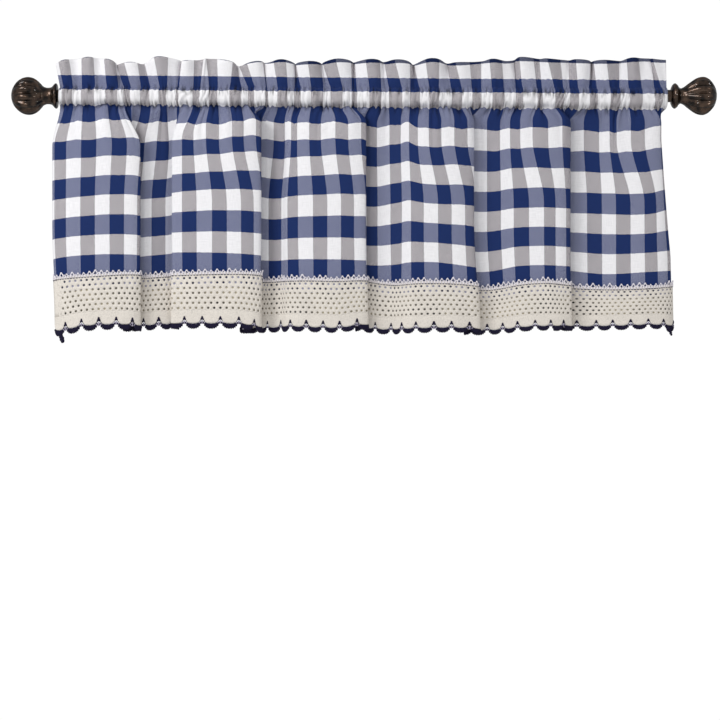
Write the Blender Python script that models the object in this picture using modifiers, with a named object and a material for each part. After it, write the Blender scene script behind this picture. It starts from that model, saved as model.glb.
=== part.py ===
"""Gathered window valance hanging on a curtain rod with a turned finial at each end.

The cloth is one gingham panel: it hangs as a skirt, runs up over the front of the rod,
stands up as a ruffled heading, folds over and comes down behind the rod. A crochet lace
strip is sewn to the front of its hem and ends in a row of fans with a dark edging.

Metres, +Z up. The origin is on the rod's axis at the middle of its length, +X runs along
the rod to the right and the front of the cloth looks along -Y.
"""

import math
from collections import namedtuple

import bmesh
import bpy
import numpy as np

# Driving dimensions
MM = 0.001
FIT_GAP = 0.3 * MM
CLOTH_THICKNESS = 1.2 * MM
LACE_THICKNESS = 1.2 * MM
EDGING_THICKNESS = 1.5 * MM
TRIM_GAP = 0.5 * MM
ROD_RADIUS = 8.0 * MM
ROD_SIDES = 24
POCKET_RADIUS = 10.0 * MM
POCKET_PUFF = 2.6 * MM
LAYER_OFFSET = 0.95 * MM
HEM_ALLOWANCE = 16.0 * MM

# The flat cloth is counted in the columns of its gingham checks
FIRST_COLUMN = -0.4
LAST_COLUMN = 61.82
FAN_COUNT = 51
STATIONS_PER_FAN = 2
FAN_NOTCH_RISE = 8.0 * MM
FAN_ROOT = 3.0 * MM
EDGING_DEPTH = 5.6 * MM
EDGING_CUSP_RISE = 3.0 * MM
EDGING_SEAM_GAP = 1.1 * MM

# Table rows closer than this, in columns, round a tight turn and get a station between.
# Other stations keep clear of them by the two distances after it
TIGHT_TURN = 0.48
HALF_FAN_CLEARANCE = 0.24
QUARTER_FAN_CLEARANCE = 0.09

# The sharpest corner of a plan line at which layers keep their full distance (a cosine)
SHARPEST_CORNER = 0.6

# Real size of one photograph pixel at the rod, and the pixel of the origin
PIXEL_SIZE = 1.293 * MM
ORIGIN_PIXEL_X = 364.0
ORIGIN_PIXEL_Y = 96.0
VIEW_PIXEL_X = 360.0
VIEW_PIXEL_Y = 360.0
VIEW_DISTANCE = 2.4

# Hung folds of the skirt: one row where the cloth changes course. Column along the flat
# cloth, pixel across at the skirt's middle and at its lower edge, depth behind the rod's
# axis in millimetres (negative is nearer to the viewer)
Fold = namedtuple("Fold", "column skirt_px hem_px depth_mm")
FOLDS = (
    Fold(-0.4, 55.0, 61.0, 6.0),
    Fold(0.1, 52.6, 57.5, -2.0),
    Fold(1.0, 66.0, 68.5, -11.0),
    Fold(2.0, 80.3, 81.5, -14.0),
    Fold(4.0, 109.5, 110.0, -16.0),
    Fold(5.0, 124.0, 124.0, -15.5),
    Fold(6.0, 137.0, 136.0, -12.5),
    Fold(6.35, 140.5, 139.5, -9.5),
    Fold(6.8, 136.5, 135.0, -6.6),
    Fold(7.5, 128.5, 127.5, -6.4),
    Fold(7.8, 123.0, 122.0, -2.2),
    Fold(8.1, 128.5, 127.5, 2.0),
    Fold(9.0, 140.0, 140.0, 2.5),
    Fold(10.0, 151.5, 151.5, 5.0),
    Fold(11.0, 165.5, 165.5, 6.5),
    Fold(12.0, 175.0, 175.0, 6.8),
    Fold(12.5, 180.0, 180.0, 1.6),
    Fold(12.9, 175.0, 175.0, -3.6),
    Fold(13.2, 172.0, 172.5, -6.6),
    Fold(14.0, 182.0, 183.0, -11.0),
    Fold(16.0, 212.0, 212.0, -15.0),
    Fold(18.0, 241.0, 242.0, -16.5),
    Fold(19.0, 253.7, 254.0, -15.0),
    Fold(19.7, 260.5, 259.5, -11.0),
    Fold(20.1, 261.0, 260.0, -6.5),
    Fold(20.7, 254.5, 253.5, -4.8),
    Fold(21.3, 246.0, 245.0, -4.5),
    Fold(21.65, 240.0, 239.0, 1.0),
    Fold(22.0, 246.0, 245.5, 6.6),
    Fold(23.2, 262.0, 262.0, 8.0),
    Fold(24.0, 268.5, 269.0, 9.0),
    Fold(25.0, 281.5, 281.5, 4.0),
    Fold(26.0, 287.5, 288.5, -7.0),
    Fold(27.0, 298.0, 300.0, -13.0),
    Fold(28.0, 313.0, 314.0, -15.0),
    Fold(30.0, 341.0, 341.0, -16.5),
    Fold(31.0, 354.0, 355.5, -15.0),
    Fold(32.0, 366.5, 367.5, -9.0),
    Fold(33.0, 377.5, 378.0, 1.0),
    Fold(34.0, 390.5, 392.0, 5.0),
    Fold(35.0, 402.0, 401.0, -3.0),
    Fold(36.0, 411.0, 411.5, -11.0),
    Fold(38.0, 438.0, 440.0, -15.0),
    Fold(40.0, 465.0, 469.0, -13.0),
    Fold(40.5, 471.5, 476.5, -10.5),
    Fold(40.85, 474.0, 479.0, -7.0),
    Fold(41.3, 468.0, 473.0, -4.2),
    Fold(41.7, 462.0, 467.0, -4.2),
    Fold(42.0, 458.0, 463.0, -0.4),
    Fold(42.3, 462.0, 467.0, 3.4),
    Fold(43.1, 474.0, 479.0, 5.0),
    Fold(44.0, 487.0, 492.0, 6.0),
    Fold(45.0, 501.0, 505.0, 1.0),
    Fold(46.0, 513.7, 517.0, -6.0),
    Fold(48.0, 544.0, 545.0, -12.5),
    Fold(49.0, 555.5, 556.0, -12.0),
    Fold(50.0, 566.0, 566.0, -9.0),
    Fold(50.4, 570.5, 570.5, -5.5),
    Fold(50.9, 564.5, 564.5, -2.2),
    Fold(51.5, 556.5, 556.5, -2.0),
    Fold(51.8, 552.5, 552.5, 1.8),
    Fold(52.1, 556.5, 556.5, 5.6),
    Fold(53.1, 572.0, 572.5, 7.0),
    Fold(54.0, 587.0, 588.0, 7.5),
    Fold(56.0, 616.0, 618.5, 0.5),
    Fold(58.0, 644.5, 652.0, -4.0),
    Fold(59.0, 657.0, 665.0, -2.5),
    Fold(60.0, 667.5, 674.0, 2.0),
    Fold(60.7, 671.3, 677.0, 8.0),
    Fold(61.82, 664.5, 671.0, 17.0),
)

# The heading and the rod pocket: one row for each third or fourth check column, with the
# pixel across along the heading's top edge and along the rod
Gather = namedtuple("Gather", "column top_px rod_px")
GATHERS = (
    Gather(-0.4, 56.0, 60.3),
    Gather(1.0, 68.5, 74.0),
    Gather(3.0, 92.5, 94.0),
    Gather(5.0, 114.0, 117.0),
    Gather(7.0, 125.0, 131.0),
    Gather(9.0, 144.0, 151.0),
    Gather(11.0, 167.0, 166.0),
    Gather(13.0, 181.5, 178.0),
    Gather(15.0, 203.0, 201.0),
    Gather(17.0, 216.0, 218.0),
    Gather(19.0, 244.0, 241.0),
    Gather(21.0, 264.0, 256.0),
    Gather(23.0, 286.0, 288.0),
    Gather(25.0, 298.0, 304.0),
    Gather(27.0, 321.5, 323.0),
    Gather(29.0, 336.5, 342.0),
    Gather(31.0, 356.5, 357.0),
    Gather(33.0, 380.0, 380.0),
    Gather(35.0, 395.0, 402.0),
    Gather(37.0, 415.5, 420.0),
    Gather(39.0, 438.0, 439.0),
    Gather(41.0, 457.0, 462.0),
    Gather(43.0, 482.0, 482.0),
    Gather(45.0, 503.0, 503.0),
    Gather(47.0, 520.0, 522.0),
    Gather(49.0, 540.0, 542.0),
    Gather(51.0, 560.0, 564.0),
    Gather(53.0, 576.0, 578.0),
    Gather(55.0, 595.0, 597.0),
    Gather(57.0, 618.5, 619.0),
    Gather(59.0, 639.0, 641.0),
    Gather(61.82, 666.5, 668.5),
)

# Check columns at which the ruffles of the heading stand nearest to the viewer
RUFFLE_CRESTS = (-2.0, 0.5, 2.6, 4.4, 7.4, 10.3, 12.6, 15.4, 18.0, 20.3, 22.5, 26.0, 29.0,
                 32.4, 35.0, 38.6, 41.2, 44.2, 47.2, 49.8, 53.2, 55.8, 58.4, 60.6, 63.0)

# Edges that run along the cloth: column and pixel height of the heading's top, of the
# lace strip's top and of the lowest points of the fans
Level = namedtuple("Level", "column px")
HEADING_TOP = (Level(-0.4, 62.5), Level(2.5, 58.2), Level(5.0, 61.5), Level(7.5, 62.5),
               Level(10.3, 57.8), Level(15.0, 60.0), Level(19.0, 64.0), Level(23.0, 61.5),
               Level(29.0, 60.0), Level(36.5, 63.5), Level(39.0, 60.0), Level(43.0, 62.0),
               Level(47.2, 58.6), Level(55.0, 60.5), Level(61.82, 59.5))
LACE_TOP = (Level(-0.4, 278.5), Level(3.0, 269.5), Level(6.0, 271.0), Level(9.0, 275.0),
            Level(13.0, 273.0), Level(18.5, 272.5), Level(20.0, 274.0), Level(23.5, 279.0),
            Level(30.0, 276.0), Level(33.5, 282.5), Level(38.5, 279.5), Level(43.5, 287.5),
            Level(48.0, 281.5), Level(54.0, 287.0), Level(61.82, 284.5))
FAN_FOOT = (Level(-0.4, 330.0), Level(2.0, 326.5), Level(5.0, 325.0), Level(9.0, 327.5),
            Level(18.5, 324.5), Level(24.0, 328.0), Level(30.0, 327.0), Level(34.0, 330.0),
            Level(38.0, 328.0), Level(43.5, 331.5), Level(48.0, 326.0), Level(61.82, 324.5))

# Heights of the panel's rows between its hem and the pocket, and the directions round the
# rod, in degrees from the back, of the rows on the pocket's front
SKIRT_HEIGHTS = (-200.0 * MM, -152.0 * MM, -108.0 * MM, -72.0 * MM, -46.0 * MM)
POCKET_ANGLES = (225.0, 180.0, 135.0)
UPPER_STITCH = 10.8 * MM
LOWER_STITCH_LEFT = -12.0 * MM
LOWER_STITCH_RIGHT = -15.5 * MM
HEADING_MIDDLE_SHARE = 0.5
BACK_END_SHORTFALL = 0.6 * MM

# How the folds and the ruffles grow away from the stitching
SPREAD_START = -16.0 * MM
SPREAD_END = -76.0 * MM
FOLD_START = 0.0 * MM
FOLD_END = -50.0 * MM
DRIFT_START = -165.0 * MM
DRIFT_END = -300.0 * MM
RUFFLE_TOP_DEPTH = 6.0 * MM
RUFFLE_STITCH_DEPTH = 1.2 * MM
GATHER_DEPTH = 3.0 * MM
GATHER_MIDDLE = -24.0 * MM
GATHER_REACH = 26.0 * MM

# Corner tails of the edging below the fans' line
TAIL_REACH = 1.0
LEFT_TAIL_DROP = 9.0 * MM
RIGHT_TAIL_DROP = 6.0 * MM

# Turned finials: distance from the tip and radius, in millimetres along the axis
Turn = namedtuple("Turn", "along radius")
LEFT_FINIAL = (Turn(0.0, 0.0), Turn(0.6, 5.6), Turn(2.6, 11.2), Turn(6.2, 16.8),
               Turn(11.4, 21.2), Turn(17.4, 23.8), Turn(23.4, 24.3), Turn(29.4, 22.8),
               Turn(34.4, 19.6), Turn(38.6, 15.4), Turn(41.6, 12.2), Turn(44.8, 10.9),
               Turn(49.2, 10.7), Turn(52.0, 12.8), Turn(54.2, 16.8), Turn(56.2, 19.2),
               Turn(58.0, 18.8), Turn(59.0, 15.5), Turn(59.2, 0.0))
RIGHT_FINIAL = (Turn(0.0, 0.0), Turn(0.6, 6.0), Turn(2.4, 11.6), Turn(6.0, 17.6),
                Turn(10.6, 22.0), Turn(15.8, 24.4), Turn(21.0, 24.4), Turn(26.4, 22.8),
                Turn(32.0, 19.4), Turn(38.0, 15.0), Turn(43.6, 10.9), Turn(46.6, 9.9),
                Turn(48.6, 11.0), Turn(51.4, 14.8), Turn(54.2, 16.4), Turn(56.6, 14.8),
                Turn(58.6, 11.2), Turn(58.8, 0.0))
LEFT_TIP_PIXEL = 11.5
RIGHT_TIP_PIXEL = 716.5
BALL_LENGTH_LEFT = 42.0 * MM
BALL_LENGTH_RIGHT = 43.0 * MM
LOBES = 8
FINIAL_SIDES = 24
GROOVE_SHARE = 0.075

COLLECTION_NAME = "window_valance"


def smoothstep(start, end, value):
    """0 before start, 1 past end, an eased ramp between."""
    share = np.clip((value - start) / (end - start), 0.0, 1.0)
    return share * share * (3.0 - 2.0 * share)


def curve_through(knots, values, where):
    """Cubic curve through (knots, values), read at where."""
    knots = np.asarray(knots, float)
    values = np.asarray(values, float)
    where = np.asarray(where, float)
    slopes = np.gradient(values, knots)
    piece = np.clip(np.searchsorted(knots, where, side="right") - 1, 0, len(knots) - 2)
    width = knots[piece + 1] - knots[piece]
    share = (where - knots[piece]) / width
    start_weight = (1.0 + 2.0 * share) * (1.0 - share) ** 2
    end_weight = share ** 2 * (3.0 - 2.0 * share)
    start_slope = share * (1.0 - share) ** 2 * width
    end_slope = share ** 2 * (share - 1.0) * width
    return (start_weight * values[piece] + end_weight * values[piece + 1]
            + start_slope * slopes[piece] + end_slope * slopes[piece + 1])


def from_pixel_x(pixel, depth):
    """X of a point seen at this pixel, at this depth."""
    from_view = (pixel - VIEW_PIXEL_X) * PIXEL_SIZE * (1.0 + depth / VIEW_DISTANCE)
    return from_view + (VIEW_PIXEL_X - ORIGIN_PIXEL_X) * PIXEL_SIZE


def from_pixel_y(pixel, depth):
    """Z of a point seen at this pixel, at this depth."""
    from_view = (VIEW_PIXEL_Y - pixel) * PIXEL_SIZE * (1.0 + depth / VIEW_DISTANCE)
    return from_view + (ORIGIN_PIXEL_Y - VIEW_PIXEL_Y) * PIXEL_SIZE


def level(table, columns, depth=0.0):
    """Height of a long edge at these columns."""
    pixels = curve_through([row.column for row in table], [row.px for row in table], columns)
    return from_pixel_y(pixels, depth)


def ruffle_wave(columns):
    """1 at the crest of each ruffle, -1 in the hollow between two."""
    crests = np.asarray(RUFFLE_CRESTS)
    piece = np.clip(np.searchsorted(crests, columns, side="right") - 1, 0, len(crests) - 2)
    share = (columns - crests[piece]) / (crests[piece + 1] - crests[piece])
    return np.cos(2.0 * math.pi * share)


def fold_value(name, columns):
    """One value of the fold table, read at these columns."""
    knots = [row.column for row in FOLDS]
    return curve_through(knots, [getattr(row, name) for row in FOLDS], columns)


def gather_value(name, columns):
    """One value of the heading's table, read at these columns."""
    knots = [row.column for row in GATHERS]
    return curve_through(knots, [getattr(row, name) for row in GATHERS], columns)


def skirt_plan(columns, height):
    """X and Y of the hanging cloth's middle surface at one height per column."""
    spread = smoothstep(SPREAD_START, SPREAD_END, height)
    drift = smoothstep(DRIFT_START, DRIFT_END, height)
    growth = smoothstep(FOLD_START, FOLD_END, height)
    near_gathers = np.clip(1.0 - np.abs(height - GATHER_MIDDLE) / GATHER_REACH, 0.0, 1.0)
    depth = growth * fold_value("depth_mm", columns) * MM
    depth = depth - GATHER_DEPTH * near_gathers * ruffle_wave(columns)
    hung = (1.0 - drift) * fold_value("skirt_px", columns) + drift * fold_value("hem_px", columns)
    pixels = (1.0 - spread) * gather_value("rod_px", columns) + spread * hung
    return from_pixel_x(pixels, depth), depth


def plan_normals(across, depth):
    """Unit normals of a plan line, on the side of the viewer, stretched at its corners."""
    run = np.stack([across, depth], axis=1)
    legs = np.diff(run, axis=0)
    legs /= np.linalg.norm(legs, axis=1)[:, None]
    before = np.vstack([legs[:1], legs])
    after = np.vstack([legs, legs[-1:]])
    along = before + after
    along /= np.linalg.norm(along, axis=1)[:, None]
    normals = np.stack([along[:, 1], -along[:, 0]], axis=1)
    corner = np.clip(np.sum(along * after, axis=1), SHARPEST_CORNER, 1.0)
    return normals / corner[:, None]


def panel_columns():
    """Columns of the panel's lengthwise stations: half fans, and the turns of the folds."""
    count = FAN_COUNT * STATIONS_PER_FAN
    halves = np.linspace(FIRST_COLUMN, LAST_COLUMN, count + 1)
    tight = []
    for row, after in zip(FOLDS, FOLDS[1:]):
        if after.column - row.column < TIGHT_TURN:
            tight += [row.column, 0.5 * (row.column + after.column), after.column]
    tight = sorted(set(tight))
    kept = [column for column in halves
            if min(abs(column - turn) for turn in tight) > HALF_FAN_CLEARANCE]
    return np.array(sorted(kept + tight))


def trim_columns(stations):
    """Columns of the trim's stations: the panel's own, and every quarter of a fan."""
    quarters = np.linspace(FIRST_COLUMN, LAST_COLUMN, FAN_COUNT * STATIONS_PER_FAN * 2 + 1)
    extra = [column for column in quarters
             if np.min(np.abs(stations - column)) > QUARTER_FAN_CLEARANCE]
    return np.array(sorted(list(stations) + extra))


def panel_rows(columns):
    """The panel's middle surface as rows of points, hem to heading to the back's end."""
    rows = []
    hem = level(LACE_TOP, columns) - HEM_ALLOWANCE
    heights = [hem] + [np.full_like(columns, height) for height in SKIRT_HEIGHTS]
    for height in heights:
        across, depth = skirt_plan(columns, height)
        rows.append((across, depth, height))

    rod_across = from_pixel_x(gather_value("rod_px", columns), 0.0)
    top_across = from_pixel_x(gather_value("top_px", columns), 0.0)
    wave = ruffle_wave(columns)
    share = (columns - FIRST_COLUMN) / (LAST_COLUMN - FIRST_COLUMN)
    lower_stitch = LOWER_STITCH_LEFT + share * (LOWER_STITCH_RIGHT - LOWER_STITCH_LEFT)
    heading_top = level(HEADING_TOP, columns)
    heading_middle = UPPER_STITCH + HEADING_MIDDLE_SHARE * (heading_top - UPPER_STITCH)
    puffed = POCKET_RADIUS + POCKET_PUFF * 0.5 * (1.0 + wave)

    def layer(across, depth, height, side):
        """One row of the front (-1) or back (+1) layer, off the line between them."""
        normals = plan_normals(across, depth)
        offset = -side * LAYER_OFFSET
        return (across + offset * normals[:, 0], depth + offset * normals[:, 1], height)

    stitch_depth = -RUFFLE_STITCH_DEPTH * wave
    middle_depth = -0.5 * (RUFFLE_TOP_DEPTH + RUFFLE_STITCH_DEPTH) * wave
    top_depth = -RUFFLE_TOP_DEPTH * wave
    half_across = 0.5 * (rod_across + top_across)
    upper = np.full_like(columns, UPPER_STITCH)

    rows.append(layer(rod_across, stitch_depth, lower_stitch, -1))
    for angle in POCKET_ANGLES:
        turn = math.radians(angle)
        rows.append((rod_across, puffed * math.cos(turn), puffed * math.sin(turn)))
    rows.append(layer(rod_across, stitch_depth, upper, -1))
    rows.append(layer(half_across, middle_depth, heading_middle, -1))
    rows.append(layer(top_across, top_depth, heading_top, -1))
    rows.append(layer(top_across, top_depth, heading_top, 1))
    rows.append(layer(half_across, middle_depth, heading_middle, 1))
    rows.append(layer(rod_across, stitch_depth, upper, 1))
    snug = np.full_like(columns, POCKET_RADIUS)
    for angle in reversed(POCKET_ANGLES):
        turn = math.radians(angle)
        rows.append((rod_across, -snug * math.cos(turn), snug * math.sin(turn)))
    rows.append(layer(rod_across, stitch_depth, lower_stitch + BACK_END_SHORTFALL, 1))
    return rows


def trim_rows(stations, columns, heights_of, offset):
    """Rows of a trim's face at one offset from the panel, on the panel's flat facets."""
    rows = []
    for heights in heights_of:
        across, depth = skirt_plan(stations, np.interp(stations, columns, heights))
        normals = plan_normals(across, depth)
        rows.append((np.interp(columns, stations, across + offset * normals[:, 0]),
                     np.interp(columns, stations, depth + offset * normals[:, 1]), heights))
    return rows


def round_rise(columns):
    """0 at the foot of each fan and 1 in the notch between two, along a round arc."""
    fans = (columns - FIRST_COLUMN) / (LAST_COLUMN - FIRST_COLUMN) * FAN_COUNT
    off_middle = np.abs(2.0 * (fans - np.floor(fans)) - 1.0)
    return 1.0 - np.sqrt(np.maximum(1.0 - off_middle ** 2, 0.0))


def fan_edge(columns):
    """Height of the lace strip's lower edge: a row of round fans."""
    return level(FAN_FOOT, columns) + FAN_NOTCH_RISE * round_rise(columns)


def edging_edge(columns):
    """Height of the edging's lower edge: shallow arcs, with a tail at each end."""
    cusp = EDGING_CUSP_RISE * round_rise(columns)
    left = np.clip(1.0 - (columns - FIRST_COLUMN) / TAIL_REACH, 0.0, 1.0)
    right = np.clip(1.0 - (LAST_COLUMN - columns) / TAIL_REACH, 0.0, 1.0)
    tails = LEFT_TAIL_DROP * left + RIGHT_TAIL_DROP * right
    return level(FAN_FOOT, columns) - EDGING_DEPTH + cusp - tails


def principled(name, hex_colour, roughness, metallic=0.0):
    """A plain material in an sRGB colour."""
    material = bpy.data.materials.new(name)
    material.use_nodes = True
    shader = material.node_tree.nodes["Principled BSDF"]
    channels = [int(hex_colour[place:place + 2], 16) / 255 for place in (0, 2, 4)]
    linear = [channel / 12.92 if channel <= 0.04045 else ((channel + 0.055) / 1.055) ** 2.4
              for channel in channels]
    shader.inputs["Base Color"].default_value = (*linear, 1.0)
    shader.inputs["Roughness"].default_value = roughness
    shader.inputs["Metallic"].default_value = metallic
    return material


def add_object(name, mesh, material, collection):
    """Link a mesh as one named piece."""
    piece = bpy.data.objects.new(name, mesh)
    piece.data.materials.append(material)
    collection.objects.link(piece)
    return piece


def add_sheet(name, rows, thickness, material, collection):
    """A sheet of cloth: an open surface through rows of points, thickened both ways."""
    mesh = bpy.data.meshes.new(name)
    shell = bmesh.new()
    grid = [[shell.verts.new(point) for point in zip(*row)] for row in rows]
    for lower, upper in zip(grid, grid[1:]):
        for place in range(len(lower) - 1):
            shell.faces.new((lower[place], lower[place + 1], upper[place + 1], upper[place]))
    shell.to_mesh(mesh)
    shell.free()
    mesh.shade_smooth()
    sheet = add_object(name, mesh, material, collection)
    solidify = sheet.modifiers.new("cloth_thickness", "SOLIDIFY")
    solidify.thickness = thickness
    solidify.offset = 0.0
    solidify.use_even_offset = True
    return sheet


def add_trim(name, stations, columns, heights_of, thickness, material, collection):
    """A sewn-on strip: thin sections lofted along the hem, each with its own heights."""
    middle = CLOTH_THICKNESS / 2 + TRIM_GAP + LACE_THICKNESS / 2
    mesh = bpy.data.meshes.new(name)
    strip = bmesh.new()
    inner, outer = [
        [[strip.verts.new(point) for point in zip(*row)]
         for row in trim_rows(stations, columns, heights_of, middle + side * thickness / 2)]
        for side in (-1, 1)]
    for low_in, high_in, low_out, high_out in zip(inner, inner[1:], outer, outer[1:]):
        for place in range(len(columns) - 1):
            after = place + 1
            strip.faces.new((low_out[place], low_out[after], high_out[after], high_out[place]))
            strip.faces.new((low_in[after], low_in[place], high_in[place], high_in[after]))
        strip.faces.new((low_in[0], low_out[0], high_out[0], high_in[0]))
        strip.faces.new((low_out[-1], low_in[-1], high_in[-1], high_out[-1]))
    for place in range(len(columns) - 1):
        after = place + 1
        strip.faces.new((inner[0][place], inner[0][after], outer[0][after], outer[0][place]))
        strip.faces.new((outer[-1][place], outer[-1][after], inner[-1][after],
                         inner[-1][place]))
    strip.to_mesh(mesh)
    strip.free()
    return add_object(name, mesh, material, collection)


def add_finial(name, profile, ball_length, tip_x, facing, material, collection):
    """A turned finial along X whose ball is carved into lobes. Facing is the tip's side."""
    mesh = bpy.data.meshes.new(name + "_profile")
    outline = [(turn.radius * MM, 0.0, -turn.along * MM) for turn in profile]
    edges = [(place, place + 1) for place in range(len(outline) - 1)]
    mesh.from_pydata(outline, edges, [])
    blank = bpy.data.objects.new(name + "_profile", mesh)
    collection.objects.link(blank)
    screw = blank.modifiers.new("turn", "SCREW")
    screw.steps = FINIAL_SIDES
    screw.render_steps = FINIAL_SIDES
    screw.use_merge_vertices = True
    screw.merge_threshold = 0.00001
    turned = bpy.data.meshes.new_from_object(
        blank.evaluated_get(bpy.context.evaluated_depsgraph_get()))
    bpy.data.objects.remove(blank)
    for vertex in turned.vertices:
        along = -vertex.co.z
        angle = math.atan2(vertex.co.y, vertex.co.x)
        on_ball = math.sin(math.pi * min(along / ball_length, 1.0))
        groove = 1.0 - abs(math.sin(0.5 * LOBES * angle))
        scale = 1.0 - GROOVE_SHARE * max(on_ball, 0.0) * groove
        vertex.co.x *= scale
        vertex.co.y *= scale
    turned.shade_smooth()
    turned.set_sharp_from_angle(angle=math.radians(50.0))
    finial = add_object(name, turned, material, collection)
    finial.location.x = tip_x
    finial.rotation_euler.y = facing * math.pi / 2
    return finial


def add_rod(start_x, end_x, material, collection):
    """The straight round rod between the two finials."""
    mesh = bpy.data.meshes.new("rod")
    bar = bmesh.new()
    bmesh.ops.create_cone(bar, cap_ends=True, segments=ROD_SIDES, radius1=ROD_RADIUS,
                          radius2=ROD_RADIUS, depth=end_x - start_x)
    bar.to_mesh(mesh)
    bar.free()
    mesh.shade_smooth()
    mesh.set_sharp_from_angle(angle=math.radians(40.0))
    rod = add_object("rod", mesh, material, collection)
    rod.location.x = 0.5 * (start_x + end_x)
    rod.rotation_euler.y = math.pi / 2
    return rod


def main():
    for leftover in list(bpy.data.objects):
        bpy.data.objects.remove(leftover)
    collection = bpy.data.collections.new(COLLECTION_NAME)
    bpy.context.scene.collection.children.link(collection)

    gingham = principled("gingham_cotton", "5F6B8C", 0.85)
    lace = principled("cream_crochet_cotton", "D4D0C6", 0.9)
    yarn = principled("navy_crochet_cotton", "201B35", 0.9)
    bronze = principled("dark_bronze_metal", "3A2A1E", 0.35, 0.7)

    # Rod and finials
    left_tip = from_pixel_x(LEFT_TIP_PIXEL, 0.0)
    right_tip = from_pixel_x(RIGHT_TIP_PIXEL, 0.0)
    add_finial("finial_left", LEFT_FINIAL, BALL_LENGTH_LEFT, left_tip, -1, bronze, collection)
    add_finial("finial_right", RIGHT_FINIAL, BALL_LENGTH_RIGHT, right_tip, 1, bronze, collection)
    rod_start = left_tip + LEFT_FINIAL[-1].along * MM + FIT_GAP
    rod_end = right_tip - RIGHT_FINIAL[-1].along * MM - FIT_GAP
    add_rod(rod_start, rod_end, bronze, collection)

    # Gingham panel
    stations = panel_columns()
    add_sheet("valance_panel", panel_rows(stations), CLOTH_THICKNESS, gingham, collection)

    # Lace strip and its edging
    columns = trim_columns(stations)
    strip_top = level(LACE_TOP, columns)
    strip_foot = fan_edge(columns)
    strip_low = level(FAN_FOOT, columns) + FAN_NOTCH_RISE + FAN_ROOT
    strip_middle = 0.5 * (strip_top + strip_low)
    add_trim("lace_trim", stations, columns, (strip_foot, strip_low, strip_middle, strip_top),
             LACE_THICKNESS, lace, collection)
    add_trim("edging_cord", stations, columns,
             (edging_edge(columns), strip_foot - EDGING_SEAM_GAP),
             EDGING_THICKNESS, yarn, collection)


main()
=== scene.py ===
"""Looks of a gathered gingham window valance on a curtain rod.

The cloth, the crochet lace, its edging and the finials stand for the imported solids. Every
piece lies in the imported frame: metres, +Z up, the origin on the rod's axis, the front of the
cloth towards -Y.
"""

import math
from collections import namedtuple

import bmesh
import bpy
import numpy as np
from mathutils import Matrix


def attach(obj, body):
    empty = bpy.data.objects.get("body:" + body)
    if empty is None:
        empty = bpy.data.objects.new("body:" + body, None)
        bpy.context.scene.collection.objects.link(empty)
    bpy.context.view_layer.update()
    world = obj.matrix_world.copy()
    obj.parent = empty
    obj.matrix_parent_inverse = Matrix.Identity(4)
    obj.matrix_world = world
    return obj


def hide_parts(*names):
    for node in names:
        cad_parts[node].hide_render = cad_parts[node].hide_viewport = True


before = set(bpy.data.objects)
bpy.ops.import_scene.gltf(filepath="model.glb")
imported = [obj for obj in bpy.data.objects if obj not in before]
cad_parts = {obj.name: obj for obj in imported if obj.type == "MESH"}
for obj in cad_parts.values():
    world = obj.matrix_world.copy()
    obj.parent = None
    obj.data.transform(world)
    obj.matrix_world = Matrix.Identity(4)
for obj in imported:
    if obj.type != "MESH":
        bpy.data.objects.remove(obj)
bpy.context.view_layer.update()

# Gingham panel
# One piece of yarn-dyed cotton gingham, cut about 1.19 m wide and 0.4 m long. It is gathered
# on the rod: a skirt in soft folds, a stitched pocket round the rod, a ruffled heading above
# it, and the turned-over layer behind. Its checks are a little taller than they are wide.
MM = 0.001
CHECK_WIDTH = 18.5 * MM
CHECK_HEIGHT = 25.2 * MM
FIRST_COLUMN = -0.4
LAST_COLUMN = 63.82
PANEL_WIDTH = (LAST_COLUMN - FIRST_COLUMN) * CHECK_WIDTH
CLOTH_THICKNESS = 0.5 * MM
POCKET_RADIUS = 10.0 * MM
POCKET_PUFF = 2.6 * MM
LAYER_OFFSET = 0.95 * MM
HEM_ALLOWANCE = 16.0 * MM
HEM_ROW = 12.6

# Real size of one photograph pixel at the rod, the pixel of the origin, and the viewpoint
PIXEL_SIZE = 1.293 * MM
ORIGIN_PIXEL_X = 364.0
ORIGIN_PIXEL_Y = 96.0
VIEW_PIXEL_X = 360.0
VIEW_PIXEL_Y = 360.0
VIEW_DISTANCE = 2.4
PHOTO_SIDE = 720

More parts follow.
